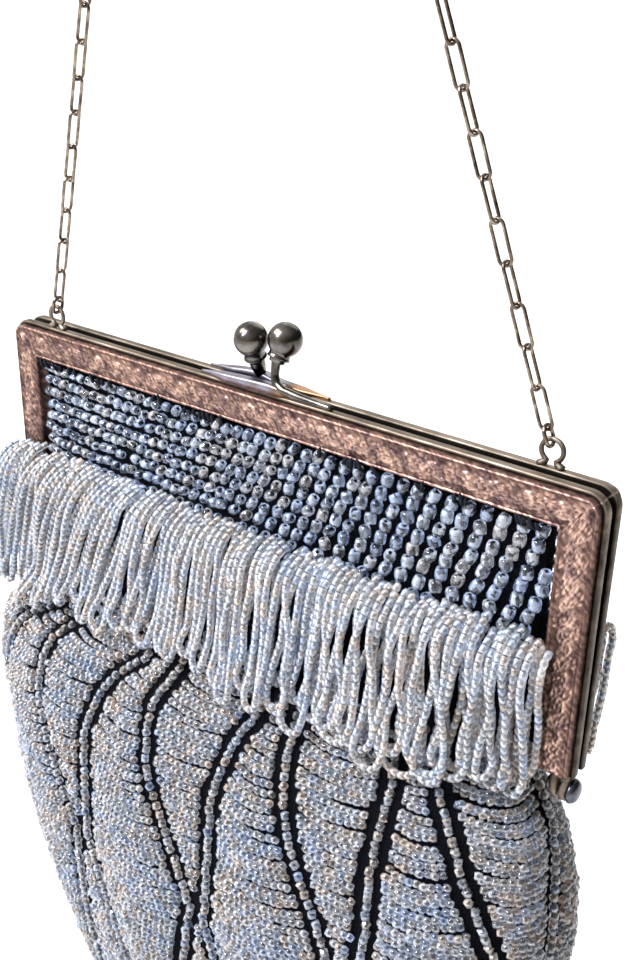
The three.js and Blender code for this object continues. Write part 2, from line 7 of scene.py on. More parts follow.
import bpy
import numpy as np
from mathutils import Matrix, Vector


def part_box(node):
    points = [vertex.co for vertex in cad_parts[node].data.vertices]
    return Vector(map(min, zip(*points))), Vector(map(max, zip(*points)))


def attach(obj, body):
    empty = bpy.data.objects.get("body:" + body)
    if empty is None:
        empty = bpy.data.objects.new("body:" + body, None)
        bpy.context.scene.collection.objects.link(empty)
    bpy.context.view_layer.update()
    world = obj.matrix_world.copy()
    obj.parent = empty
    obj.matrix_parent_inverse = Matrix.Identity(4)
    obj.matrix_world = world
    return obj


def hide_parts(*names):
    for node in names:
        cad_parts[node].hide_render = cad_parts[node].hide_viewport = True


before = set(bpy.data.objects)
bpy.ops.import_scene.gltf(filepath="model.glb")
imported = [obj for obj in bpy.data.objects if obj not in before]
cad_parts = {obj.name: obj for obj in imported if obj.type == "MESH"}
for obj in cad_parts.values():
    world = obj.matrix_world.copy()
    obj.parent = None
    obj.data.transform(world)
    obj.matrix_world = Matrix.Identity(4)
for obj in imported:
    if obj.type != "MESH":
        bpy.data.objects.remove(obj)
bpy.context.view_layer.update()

# Room: the bag hangs over a pale paper floor that runs out of sight, in a surround that looks white and
# shines most from the window's side. A broad light falls from the window on the upper left, a soft one
# fills from behind, and a narrow cool one puts glints in the glass and on the clasp.
MOUTH_Z = -6.5  # top edge of the cloth, under the frame's top bar
frame_low, frame_high = (np.array(corner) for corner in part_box("frame_front"))
cloth_low, cloth_high = (np.array(corner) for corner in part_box("bag_body"))
BAG_ORIGIN = np.array([
    (frame_low[0] + frame_high[0]) / 2,
    (cloth_low[1] + cloth_high[1]) / 2,
    cloth_high[2] - MOUTH_Z / 1000,
])
FLOOR_GAP = 14  # under the hem
FLOOR_REACH = 9000
CAMERA_PLACE = (130.4, -152.8, 75.4)
CAMERA_AIM = (19.04, -9.2, -8.2)
CAMERA_ROLL_DEG = 1.1
CAMERA_LENS = 44.96
CAMERA_SENSOR = 36  # on the picture's long side
WINDOW_WAY = (-0.66, -0.4, 0.63)  # from the bag towards the window
ROOM_DIM, ROOM_BRIGHT = 0.1, 1.35  # strength of the surround away from the window and towards it


def metres(points):
    """Points in the bag's millimetres, moved to its origin in the frame and turned to metres."""
    return np.asarray(points, float) / 1000 + BAG_ORIGIN


def linear(code):
    """Linear red, green and blue of an sRGB hex value, each channel through the standard curve."""
    channel = np.array([int(code[i:i + 2], 16) for i in (1, 3, 5)]) / 255
    lit = np.where(channel <= 0.04045, channel / 12.92, ((channel + 0.055) / 1.055) ** 2.4)
    return (*lit.tolist(), 1.0)


def add_node(tree, kind, inputs=(), stops=(), **settings):
    """Adds a node with its own settings. An input, by name or number, is linked if it is given a socket and
    set otherwise, and stops are the (place, hex colour) pairs of a colour ramp."""
    made = tree.nodes.new(kind)
    for name, value in settings.items():
        setattr(made, name, value)
    for key, value in dict(inputs).items():
        if isinstance(value, bpy.types.NodeSocket):
            tree.links.new(value, made.inputs[key])
        else:
            made.inputs[key].default_value = value
    for i, (place, code) in enumerate(stops):
        stop = made.color_ramp.elements[i] if i < 2 else made.color_ramp.elements.new(place)
        stop.position = place
        stop.color = linear(code)
    return made


def new_material(name):
    """An empty node material and its tree."""
    made = bpy.data.materials.new(name)
    made.use_nodes = True
    made.node_tree.nodes.clear()
    return made, made.node_tree


def put_mesh(name, points, face_groups, materials, material_index=None, smooth=True, **attributes):
    """An object at the origin from points in the bag's millimetres and arrays of faces with 3 or 4 corners.
    Each attribute is one number for every point."""
    mesh = bpy.data.meshes.new(name)
    corners = np.concatenate([group.ravel() for group in face_groups])
    sizes = np.concatenate([np.full(len(group), group.shape[1]) for group in face_groups])
    starts = np.concatenate([[0], np.cumsum(sizes)[:-1]])
    mesh.vertices.add(len(points))
    mesh.vertices.foreach_set("co", metres(points).ravel())
    mesh.loops.add(len(corners))
    mesh.loops.foreach_set("vertex_index", corners)
    mesh.polygons.add(len(sizes))
    mesh.polygons.foreach_set("loop_start", starts)
    mesh.polygons.foreach_set("use_smooth", np.broadcast_to(smooth, len(sizes)))
    for made in materials:
        mesh.materials.append(made)
    if material_index is not None:
        mesh.polygons.foreach_set("material_index", material_index)
    mesh.update(calc_edges=True)
    for key, values in attributes.items():
        mesh.attributes.new(key, "FLOAT", "POINT").data.foreach_set("value", np.asarray(values, np.float32))
    made = bpy.data.objects.new(name, mesh)
    bpy.context.scene.collection.objects.link(made)
    return made


def soft_light(name, kind, place, aim, power, code, **spread):
    """A light at a place, turned to an aim, in the bag's coordinates. Its spread is an angle, or a shape
    with its sizes."""
    lamp = bpy.data.lights.new(name, kind)
    lamp.energy = power
    lamp.color = linear(code)[:3]
    for key, value in spread.items():
        setattr(lamp, key, value)
    made = bpy.data.objects.new(name, lamp)
    made.location = metres(place)
    made.rotation_euler = Vector(np.subtract(aim, place)).to_track_quat("-Z", "Y").to_euler()
    bpy.context.scene.collection.objects.link(made)


# Seamless background paper: matt and near white
paper, tree = new_material("white_seamless_paper")
shader = add_node(tree, "ShaderNodeBsdfPrincipled", {
    "Base Color": linear("#fbfbfb"), "Roughness": 0.9, "Specular IOR Level": 0.1})
add_node(tree, "ShaderNodeOutputMaterial", {"Surface": shader.outputs["BSDF"]})
floor_z = (cloth_low[2] - BAG_ORIGIN[2]) * 1000 - FLOOR_GAP
floor_corners = np.array([(x, y, floor_z) for x, y in
                          ((-FLOOR_REACH, -FLOOR_REACH), (FLOOR_REACH, -FLOOR_REACH),
                           (FLOOR_REACH, FLOOR_REACH), (-FLOOR_REACH, FLOOR_REACH))])
floor = put_mesh("floor", floor_corners, [np.array([[0, 1, 2, 3]])], [paper])

world = bpy.data.worlds.new("white_surround")
world.use_nodes = True
tree = world.node_tree
tree.nodes.clear()
sky = add_node(tree, "ShaderNodeTexCoord")
toward = add_node(tree, "ShaderNodeVectorMath", {0: sky.outputs["Generated"], 1: WINDOW_WAY},
                  operation="DOT_PRODUCT")
glow = add_node(tree, "ShaderNodeMapRange", {
    "Value": toward.outputs["Value"], "From Min": -0.3, "From Max": 0.9,
    "To Min": ROOM_DIM, "To Max": ROOM_BRIGHT})
room_light = add_node(tree, "ShaderNodeBackground", {
    "Color": linear("#f6f6f8"), "Strength": glow.outputs["Result"]})
white_wall = add_node(tree, "ShaderNodeBackground", {"Color": linear("#ffffff")})
ray = add_node(tree, "ShaderNodeLightPath")
surround = add_node(tree, "ShaderNodeMixShader", {
    0: ray.outputs["Is Camera Ray"], 1: room_light.outputs["Background"],
    2: white_wall.outputs["Background"]})
add_node(tree, "ShaderNodeOutputWorld", {"Surface": surround.outputs["Shader"]})
bpy.context.scene.world = world
soft_light("window", "SUN", (-360, -210, 330), (0, 0, -50), 2.7, "#fdfaf6", angle=np.radians(25))
soft_light("back_fill", "SUN", (-140, 420, 260), (0, 0, -50), 1.0, "#ffffff", angle=np.radians(50))
soft_light("glint", "AREA", (-170, -350, 390), (0, 0, -20), 8.0, "#dfeaff",
           shape="RECTANGLE", size=0.09, size_y=0.28)

camera = bpy.data.objects.new("camera", bpy.data.cameras.new("camera"))
camera.data.sensor_fit = "VERTICAL"
camera.data.sensor_height = CAMERA_SENSOR
camera.data.lens = CAMERA_LENS
camera.data.clip_start = 0.01
gaze = Vector(np.subtract(CAMERA_AIM, CAMERA_PLACE)).to_track_quat("-Z", "Y").to_matrix()
camera.matrix_world = Matrix.Translation(metres(CAMERA_PLACE)) @ (
    gaze @ Matrix.Rotation(np.radians(CAMERA_ROLL_DEG), 3, "Z")).to_4x4()
bpy.context.scene.collection.objects.link(camera)
bpy.context.scene.camera = camera
bpy.context.scene.view_settings.view_transform = "Standard"

# Frame halves: an arch of cast, copper-washed brass with raised leaf scrolls, soldered on a rolled rim.
# Each half has two hinge lugs under its arms and one wire eye for the chain, all soldered on. The back half
# is the front one turned round, and leans a degree open about the hinges.
PLATE_HALF = 66.3
ARM_LENGTH = 50
ARM_BAR = 6.3
TOP_BAR = 6
RIM_Y = -1.35
HINGE_Z = -54.3
SPREAD = np.radians(-1)
FRAME_STEP = 0.5
FIELD_FROM, FIELD_TO, FIELD_COLUMNS = 0.65, 5.6, 20  # band of the scrolls, across the plate
FIELD_Y = -3.32
FIELD_EASE = 0.3  # over which the scrolls fade out at the band's edges
RELIEF_HIGH = 0.42
CAST_GRAIN = 0.04  # of the relief's height
SCROLL_PERIOD = 5.8
STEM_SWING, STEM_WIDE = 1.3, 0.3
CURL_RADIUS, CURL_PITCH = 1.25, 0.8
LEAF_RING, LEAF_WIDE, LEAF_COUNT = 1.75, 0.55, 9
VEIN_PITCH = 0.85  # of the chased lines on the leaves
WAVE_SCALE = 314  # of a wave texture, for bands of 1 mm
LUGS_X = (63, -65.8)  # left face of each hinge lug
LUG_THICK = 1.2
LUG_EASE = 0.15
LUG_ROUND = 2.1
LUG_FRONT, LUG_BACK = -2.0, -0.7  # y of its straight sides
LUG_TOP, LUG_SHOULDER = -ARM_LENGTH + 2, -ARM_LENGTH - 0.2
EYE_X, EYE_Z = -55, 3.5  # middle of the chain eye
EYE_RADIUS = 1.9
EYE_OPEN_DEG = (-62, 242)  # where its ring starts and ends
EYE_LEG = ((2.0, 0.75), (1.6, 1.05), (1.1, 1.45))  # distance from its middle, and z, from the foot up
EYE_WIRE, EYE_FLARE, EYE_FOOT = 0.42, 0.6, 0.75  # radius of its wire, of its feet above, and at their ends
# Section through one bar, from its inner back edge round the rim to the inner edge of the plate
# The last column is wear on the rubbed outer edges, and painted shade: it is lowest on the faces that look
# into the gap between the halves and on the crease by the plate, which the materials paint dark as shade.
RIM_SECTION = [  # inset from the plate's outer edge, y, corner radius of the arch there, wear and painted shade
    (6.3, -0.55, 0.2, 0), (3, -0.5, 0.4, 0), (-0.5, -0.5, 3.3, 0.1), (-0.78, -0.58, 3.4, 0.4),
    (-0.9, -0.85, 3.5, 0.6), (-0.9, -1.85, 3.5, 0.6), (-0.78, -2.12, 3.4, 0.5), (-0.5, -2.2, 3.3, 0.35),
    (-0.14, -2.2, 2.2, 0.05),
]
LIP_SECTION = [
    (-0.08, -1.95, 2.1, 0.05), (0, -2.1, 2, 0.1), (0, -3.1, 2, 0.2), (0.1, -3.38, 2, 0.2),
    (0.28, -3.5, 1.9, 0.3), (0.46, -3.5, 1.8, 0.25), (0.56, -3.36, 1.7, 0.1),
]
BEAD_LINE = [
    (5.68, -3.3, 0.3, 0.1), (5.76, -3.46, 0.3, 0.25), (5.9, -3.53, 0.3, 0.35), (6.08, -3.5, 0.25, 0.3),
    (6.2, -3.38, 0.2, 0.25), (6.3, -3.1, 0.2, 0.1),
]
PAINTED_LIGHT_RUN = [ARM_LENGTH - 8, ARM_LENGTH, ARM_LENGTH + 2 * PLATE_HALF, ARM_LENGTH + 2 * PLATE_HALF + 8]
PAINTED_LIGHT_SHARE = [0.4, 1, 1, 0.4]  # painted shade: the arms are painted darker than the top bar, which the light from above falls on
END_WEAR, SOLDER_WEAR = 0.3, 0.6
RIM_TARNISH, RIM_BRIGHT, RIM_DARK = "#6b5f51", "#94877a", "#3d342c"
COPPER_DEEP, COPPER_MID, COPPER_HIGH = "#64504a", "#8a7168", "#bfa498"


def unit(vector):
    """A vector, or each row of an array of them, brought to length one."""
    return vector / np.linalg.norm(vector, axis=-1, keepdims=True)


def spokes(across, other, sides):
    """Circles of radius one: cosines of one direction and sines of the other, for each row of both."""
    turn = 2 * np.pi * np.arange(sides) / sides
    return np.cos(turn)[:, None] * across[..., None, :] + np.sin(turn)[:, None] * other[..., None, :]


def ring_quads(rings, sides, is_loop=False):
    """Faces between each ring of points and the next, and in a loop from the last ring to the first."""
    i, j = np.meshgrid(np.arange(rings if is_loop else rings - 1), np.arange(sides), indexing="ij")
    after, beside = sides * ((i + 1) % rings), (j + 1) % sides
    return np.stack([sides * i + j, sides * i + beside, after + beside, after + j], axis=-1).reshape(-1, 4)


def closed_tube(rings):
    """Stacked rings of points as a closed shape: faces between neighbours, and a fan to the middle at each
    end. The points come back with the two middles added."""
    count, sides = rings.shape[:2]
    points = np.concatenate([rings.reshape(-1, 3), rings[[0, -1]].mean(axis=1)])
    j = np.arange(sides)
    ahead = (j + 1) % sides
    last = (count - 1) * sides
    first_fan = np.stack([ahead, j, np.full(sides, count * sides)], axis=-1)
    last_fan = np.stack([last + j, last + ahead, np.full(sides, count * sides + 1)], axis=-1)
    return points, [ring_quads(count, sides), np.concatenate([first_fan, last_fan])]


def joined(parts):
    """Several (points, face groups) pairs as one: faces are moved on past the points before their own."""
    offsets = np.cumsum([0] + [len(points) for points, _ in parts])
    groups = [group + offset for (_, faces), offset in zip(parts, offsets) for group in faces]
    return np.concatenate([points for points, _ in parts]), groups


def round_tube(path, radius, sides):
    """A round bar along a path: at each of its points a circle of a given radius in the plane across it."""
    along = unit(np.gradient(path, axis=0))
    up = np.where(np.abs(along[:, 1:2]) > 0.9, (0.0, 0.0, 1.0), (0.0, 1.0, 0.0))
    across = unit(np.cross(up, along))
    other = np.cross(along, across)
    return closed_tube(path[:, None] + radius[:, None, None] * spokes(across, other, sides))


def scroll_relief(along, across):
    """Height of the ornament from 0 to 1. A stem waves along the bar as a sine; in each of its bends a curl
    winds as a spiral, where the height follows radius less angle, with a fan of leaves round it."""
    stem = np.exp(-((across - STEM_SWING * np.sin(2 * np.pi * along / SCROLL_PERIOD)) / STEM_WIDE) ** 2)
    bend = np.floor(along / (SCROLL_PERIOD / 2))
    side = np.where(bend % 2 == 0, 1, -1)
    x = along - (bend + 0.5) * SCROLL_PERIOD / 2
    y = across * side + 0.5
    radius = np.hypot(x, y)
    angle = np.arctan2(y, x)
    winding = 0.5 + 0.5 * np.cos(2 * np.pi * radius / CURL_PITCH - angle)
    curl = np.exp(-(radius / CURL_RADIUS) ** 6) * winding
    lobes = 0.5 + 0.5 * np.cos(LEAF_COUNT * angle + 2.5 * radius)
    leaves = np.exp(-((radius - LEAF_RING) / LEAF_WIDE) ** 2) * lobes
    return np.maximum.reduce([stem, 0.9 * curl, 0.85 * leaves])


def bar_sweep(seed):
    """The arch: one section carried up the left arm, along the top and down the right arm. A point's inset
    shortens its run at both mitres, and inside a corner's square the point is drawn in to a round."""
    field = np.linspace(FIELD_FROM, FIELD_TO, FIELD_COLUMNS)
    section = np.array(RIM_SECTION + LIP_SECTION + [(inset, FIELD_Y, 0.6, 0) for inset in field] + BEAD_LINE)
    inset, depth, corner, wear = section.T
    arm = np.linspace(0, 1, int(ARM_LENGTH / FRAME_STEP))[:, None]
    top = np.linspace(-1, 1, int(2 * PLATE_HALF / FRAME_STEP))[:, None]
    height = -inset * TOP_BAR / ARM_BAR
    rise = -ARM_LENGTH + arm * (ARM_LENGTH + height)
    reach = PLATE_HALF - inset
    x = np.concatenate([-reach + 0 * arm, top * reach, reach + 0 * arm])
    z = np.concatenate([rise, height + 0 * top, rise[::-1]])
    into_x = np.maximum(np.abs(x) - (reach - corner), 0)
    into_z = np.maximum(z - (height - corner), 0)
    shrink = np.maximum(into_x, into_z) / np.maximum(np.hypot(into_x, into_z), 1e-9)
    both = (into_x > 0) & (into_z > 0)
    x = np.where(both, np.sign(x) * (reach - corner + into_x * shrink), x)
    z = np.where(both, height - corner + into_z * shrink, z)
    run = np.concatenate([arm[:, 0] * ARM_LENGTH, ARM_LENGTH + (top[:, 0] + 1) * PLATE_HALF,
                          ARM_LENGTH + 2 * PLATE_HALF + arm[:, 0] * ARM_LENGTH])[:, None]
    rng = np.random.default_rng(seed)
    is_field = (inset >= FIELD_FROM) & (inset <= FIELD_TO) & (depth == FIELD_Y)
    edge = np.clip(np.minimum(inset - FIELD_FROM, FIELD_TO - inset) / FIELD_EASE, 0, 1) * is_field
    relief = scroll_relief(run, inset - (FIELD_FROM + FIELD_TO) / 2)
    relief = np.clip(relief + rng.normal(0, CAST_GRAIN, relief.shape), 0, 1.1) * edge
    y = depth - RELIEF_HIGH * relief
    # Wear and painted shade: in the scrolls their height, rubbed pale on top; elsewhere the section's wear
    # and shade, scaled down along the arms so that they are painted darker than the top bar.
    painted_light = np.interp(run, PAINTED_LIGHT_RUN, PAINTED_LIGHT_SHARE)
    worn = np.where(is_field, relief, wear * painted_light)
    rings = np.stack([x, y, z], axis=-1)
    points, faces = closed_tube(rings)
    is_rim = np.arange(len(inset)) < len(RIM_SECTION)
    index = np.tile(is_rim.astype(int), len(rings) - 1)
    return points, faces, np.concatenate([worn.ravel(), [END_WEAR] * 2]), index


def hinge_lug(low_x):
    """A tab under an arm: straight sides from the rim to a round end about the hinge, its edges eased."""
    turn = np.linspace(np.pi, 2 * np.pi, 13)
    outline = np.concatenate([
        [(LUG_FRONT, LUG_TOP)],
        np.stack([LUG_ROUND * np.cos(turn), HINGE_Z + LUG_ROUND * np.sin(turn)], axis=-1),
        [(LUG_BACK, LUG_SHOULDER), (LUG_BACK, LUG_TOP)]])
    slices = [(0, 0.9), (LUG_EASE, 1), (LUG_THICK - LUG_EASE, 1), (LUG_THICK, 0.9)]
    middle = outline.mean(axis=0)
    rings = [np.column_stack([np.full(len(outline), low_x + x), middle + (outline - middle) * share])
             for x, share in slices]
    return closed_tube(np.array(rings))


def chain_eye(x):
    """Omega of round wire: a ring open below, whose two ends run down and out to flared feet on the rim."""
    turn = np.radians(np.linspace(*EYE_OPEN_DEG, 33))
    ring = np.column_stack([
        x + EYE_RADIUS * np.cos(turn), np.full(len(turn), RIM_Y), EYE_Z + EYE_RADIUS * np.sin(turn)])
    legs = [np.array([(x + side * out, RIM_Y, z) for out, z in EYE_LEG]) for side in (1, -1)]
    path = np.concatenate([legs[0], ring, legs[1][::-1]])
    last = len(path) - 1
    radius = np.interp(np.arange(len(path)), [0, 2, 4, last - 4, last - 2, last],
                       [EYE_FOOT, EYE_FLARE, EYE_WIRE, EYE_WIRE, EYE_FLARE, EYE_FOOT])
    return round_tube(path, radius, 10)


def turned_back(points):
    """The front half's points turned half round about z, then leant open about the hinge axis."""
    x, y, z = (points * (-1, -1, 1) - (0, 0, HINGE_Z)).T
    return np.column_stack([x, y * np.cos(SPREAD) - z * np.sin(SPREAD),
                            HINGE_Z + y * np.sin(SPREAD) + z * np.cos(SPREAD)])


# Cast brass with a copper wash: pale where hands have rubbed the leaves, dull brown in the hollows
relief_brass, tree = new_material("copper_washed_cast_brass")
# This attribute is real wear in the scrolls, where their height is rubbed pale. On the lip and the beaded
# edge it is painted shade: darker down the arms, and on the lip's face by the rim.
worn = add_node(tree, "ShaderNodeAttribute", attribute_name="worn")
place = add_node(tree, "ShaderNodeTexCoord")
patina = add_node(tree, "ShaderNodeTexNoise", {
    "Vector": place.outputs["Object"], "Scale": 1000 / 2.6, "Detail": 4.0, "Roughness": 0.65})
pits = add_node(tree, "ShaderNodeTexNoise", {
    "Vector": place.outputs["Object"], "Scale": 1000 / 0.6, "Detail": 3.0, "Roughness": 0.7})
veins = add_node(tree, "ShaderNodeTexWave", {
    "Vector": place.outputs["Object"], "Scale": WAVE_SCALE / VEIN_PITCH, "Distortion": 9.0, "Detail": 2.0},
    bands_direction="DIAGONAL")
chased = add_node(tree, "ShaderNodeMath", {0: veins.outputs["Fac"], 1: 0.3, 2: worn.outputs["Fac"]},
                  operation="MULTIPLY_ADD")
height = add_node(tree, "ShaderNodeMath", {0: pits.outputs["Fac"], 1: 0.25, 2: chased.outputs["Value"]},
                  operation="MULTIPLY_ADD")
copper = add_node(tree, "ShaderNodeValToRGB", {"Fac": height.outputs["Value"]}, stops=[
    (0.2, COPPER_DEEP), (1.0, COPPER_HIGH), (0.55, COPPER_MID)])
dulled = add_node(tree, "ShaderNodeValToRGB", {"Fac": patina.outputs["Fac"]}, stops=[
    (0.38, "#968c92"), (0.6, "#fff4e6")])
tint = add_node(tree, "ShaderNodeMix", {0: 1.0, 6: copper.outputs["Color"], 7: dulled.outputs["Color"]},
                data_type="RGBA", blend_type="MULTIPLY")
gloss = add_node(tree, "ShaderNodeMapRange", {
    "Value": height.outputs["Value"], "From Min": 0.2, "From Max": 1.0, "To Min": 0.6, "To Max": 0.3})
bump = add_node(tree, "ShaderNodeBump", {
    "Height": height.outputs["Value"], "Strength": 0.2, "Distance": 0.00025})
shader = add_node(tree, "ShaderNodeBsdfPrincipled", {
    "Base Color": tint.outputs[2], "Roughness": gloss.outputs["Result"], "Metallic": 1.0,
    "Normal": bump.outputs["Normal"]})
add_node(tree, "ShaderNodeOutputMaterial", {"Surface": shader.outputs["BSDF"]})

# Rolled brass strip of the rim, tarnished to olive tan with darker streaks along its length, and painted
# shade: near black on the faces in the gap between the halves, and darker down the arms
rim_brass, tree = new_material("tarnished_rolled_brass")
place = add_node(tree, "ShaderNodeTexCoord")
stretch = add_node(tree, "ShaderNodeMapping", {"Vector": place.outputs["Object"], "Scale": (0.25, 1.0, 1.0)})
streak = add_node(tree, "ShaderNodeTexNoise", {
    "Vector": stretch.outputs["Vector"], "Scale": 1000 / 3, "Detail": 5.0, "Roughness": 0.7})
worn = add_node(tree, "ShaderNodeAttribute", attribute_name="worn")
tan = add_node(tree, "ShaderNodeValToRGB", {"Fac": streak.outputs["Fac"]}, stops=[
    (0.28, RIM_DARK), (0.75, RIM_BRIGHT), (0.5, RIM_TARNISH)])
# Painted shade: a multiplier running from near black, on the faces in the gap and down the arms, to white on
# the rubbed edges of the top bar.
painted_shade = add_node(tree, "ShaderNodeValToRGB", {"Fac": worn.outputs["Fac"]}, stops=[
    (0.05, "#1a1613"), (0.5, "#ffffff")])
tint = add_node(tree, "ShaderNodeMix", {0: 1.0, 6: tan.outputs["Color"], 7: painted_shade.outputs["Color"]},
                data_type="RGBA", blend_type="MULTIPLY")
gloss = add_node(tree, "ShaderNodeMapRange", {"Value": streak.outputs["Fac"], "To Min": 0.62, "To Max": 0.4})
bump = add_node(tree, "ShaderNodeBump", {
    "Height": streak.outputs["Fac"], "Strength": 0.12, "Distance": 0.0002})
shader = add_node(tree, "ShaderNodeBsdfPrincipled", {
    "Base Color": tint.outputs[2], "Roughness": gloss.outputs["Result"], "Metallic": 1.0,
    "Normal": bump.outputs["Normal"]})
add_node(tree, "ShaderNodeOutputMaterial", {"Surface": shader.outputs["BSDF"]})

for name, seed, is_back in (("frame_front", 3, False), ("frame_back", 4, True)):
    points, faces, rubbed, rim_index = bar_sweep(seed)
    solder = joined([*(hinge_lug(x) for x in LUGS_X), chain_eye(EYE_X)])
    all_points, all_faces = joined([(points, faces), solder])
    others = sum(len(group) for group in all_faces) - len(rim_index)
    piece = put_mesh(name + "_relief", turned_back(all_points) if is_back else all_points, all_faces,
                     [relief_brass, rim_brass], np.concatenate([rim_index, np.ones(others, int)]),
                     worn=np.concatenate([rubbed, np.full(len(solder[0]), SOLDER_WEAR)]))
    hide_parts(name)
    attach(piece, "root")

# Hinge rivets: darkened steel pins under the arms, with a round dome outside and a flat head inside.
# They are turned on a lathe and hold the lugs of both halves together.
RIVET_SECTION = [  # radius and distance from the bag's middle
    (1.5, 62.0), (1.5, 62.7), (0.7, 62.7), (0.7, 66.1), (2.1, 66.1), (2.2, 66.25), (2.15, 66.6),
    (1.9, 67.05), (1.45, 67.38), (0.8, 67.56), (0.3, 67.6),
]


def turned_on(section, base, direction, sides):
    """A profile of radius and distance turned about an axis through a base point."""
    direction = unit(np.asarray(direction, float))
    across = unit(np.cross(direction, (0, 1, 0) if abs(direction[1]) < 0.9 else (1, 0, 0)))
    spoke = spokes(across, np.cross(direction, across), sides)
    radius, reach = np.array(section, float).T
    return closed_tube(base + reach[:, None, None] * direction + radius[:, None, None] * spoke)


def mottled_metal(name, grain, detail, stops, rough):
    """A metal whose colour, by stops, and roughness, between two values, follow noise of one grain."""
    made, tree = new_material(name)
    place = add_node(tree, "ShaderNodeTexCoord")
    mottle = add_node(tree, "ShaderNodeTexNoise", {
        "Vector": place.outputs["Object"], "Scale": 1000 / grain, "Detail": detail, "Roughness": 0.6})
    tarnish = add_node(tree, "ShaderNodeValToRGB", {"Fac": mottle.outputs["Fac"]}, stops=stops)
    gloss = add_node(tree, "ShaderNodeMapRange", {
        "Value": mottle.outputs["Fac"], "To Min": rough[0], "To Max": rough[1]})
    shader = add_node(tree, "ShaderNodeBsdfPrincipled", {
        "Base Color": tarnish.outputs["Color"], "Roughness": gloss.outputs["Result"], "Metallic": 1.0})
    add_node(tree, "ShaderNodeOutputMaterial", {"Surface": shader.outputs["BSDF"]})
    return made


# Gunmetal: steel blacked and rubbed, with a soft mottled gloss
gunmetal = mottled_metal("rubbed_gunmetal", 1.6, 4.0, [(0.3, "#2f3134"), (0.72, "#63656a")], (0.42, 0.2))

for name, side in (("hinge_rivet_left", -1), ("hinge_rivet_right", 1)):
    points, faces = turned_on(RIVET_SECTION, np.array([0, 0, HINGE_Z]), (side, 0, 0), 20)
    piece = put_mesh(name + "_dome", points, faces, [gunmetal])
    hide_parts(name)
    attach(piece, "root")

# Clasp: two smoked bronze balls on stepped collars, each on a bent stem, over a nickel-plated wing that runs
# out along the rim. The balls snap past each other; the front stem is slim, the back one thick.
BALL = 3.15
COLLAR = [  # radius and distance from the neck
    (1.3, 0), (1.45, 0.08), (1.5, 0.55), (1.62, 0.68), (2.0, 0.72), (2.12, 0.85), (2.1, 1.05), (1.95, 1.15)]
CLASPS = {  # crest of the wing as x and height, stem as x, y, z and radius
    "clasp_front": {
        "wing": [(-15, 0.6), (-10, 1.3), (-3, 1.7), (2.5, 1.9), (5.5, 1.2), (9, 0.6)],
        "stem": [(2.3, -0.55, 6.9, 0.95), (2.25, -0.8, 5.6, 0.82), (2.3, -1, 4.2, 0.76),
                 (2.7, -1.2, 3, 0.8), (3.9, -1.4, 2.15, 0.85), (6.5, -1.5, 1.7, 0.82),
                 (10.5, -1.5, 1.45, 0.7), (15.3, -1.45, 1.25, 0.5)],
        "neck": (2.3, -0.6, 6.4), "ball": (3, 0.9, 10.3), "is_back": False},
    "clasp_back": {
        "wing": [(-12, 0.6), (0, 1.3), (3.5, 2.1), (6.5, 1.9), (16, 0.6)],
        "stem": [(3.7, -1.25, 1.6, 0.8), (3.7, -0.95, 2.6, 1.1), (3.7, -0.4, 4, 1.4), (3.7, 0.2, 5.4, 1.5)],
        "neck": (3.7, 0.1, 5), "ball": (3.6, 1.75, 9.4), "is_back": True},
}
WING_BOTTOM = 0.75
WING_DEPTH = 2.1
WING_TAPER = 6  # length of its pointed ends
THUMB_FROM, THUMB_TO = 1, 9  # x where the plate starts to wear, and where it is worn through
WING_SECTION = [  # share of the depth from the middle, share of the height
    (-0.5, 0), (0.5, 0), (0.5, 0.78), (0.42, 0.95), (0.28, 1), (-0.28, 1), (-0.42, 0.95), (-0.5, 0.78)]


def clasp_wing(crest):
    """A tapered bar along the rim: one rounded section, its height drawn along x by a smooth crest line."""
    x, high = np.array(crest, float).T
    stations = np.linspace(x[0], x[-1], 49)
    ease = np.interp(stations, x, high)
    crest_line = np.convolve(np.pad(ease, 2, mode="edge"), np.full(5, 0.2), mode="valid")
    across, up = np.array(WING_SECTION).T
    taper = np.clip(np.minimum(stations - x[0], x[-1] - stations) / WING_TAPER, 0.25, 1)[:, None]
    return closed_tube(np.stack([stations[:, None] + 0 * across, RIM_Y + WING_DEPTH * taper * across,
                                 WING_BOTTOM + crest_line[:, None] * up], axis=-1))


def smooth_path(stations, steps):
    """Curves through rows of stations: cubics over the chords, whose slope at a station is the mean of the
    chords beside it, each weighted by the length of the other."""
    chord = np.diff(stations, axis=1)
    length = np.linalg.norm(chord, axis=-1, keepdims=True)
    secant = chord / length
    before, after = length[:, :-1], length[:, 1:]
    middle = (after * secant[:, :-1] + before * secant[:, 1:]) / (before + after)
    slope = np.concatenate([secant[:, :1], middle, secant[:, -1:]], axis=1)
    t = np.linspace(0, 1, steps, endpoint=False)[:, None]
    a, b = stations[:, :-1, None], stations[:, 1:, None]
    m, n = (length * slope[:, :-1])[:, :, None], (length * slope[:, 1:])[:, :, None]
    curve = ((1 + 2 * t) * (1 - t) ** 2 * a + t * (1 - t) ** 2 * m
             + t * t * (3 - 2 * t) * b + t * t * (t - 1) * n)
    return np.concatenate([curve.reshape(len(stations), -1, 3), stations[:, -1:]], axis=1)


def clasp_stem(stations):
    """A round stem: circles across a smooth path through its stations, with radii evenly between theirs."""
    rows = np.array(stations, float)
    steps = 6
    path = smooth_path(rows[None, :, :3], steps)[0]
    radius = np.interp(np.arange(len(path)) / steps, np.arange(len(rows)), rows[:, 3])
    return round_tube(path, radius, 16)


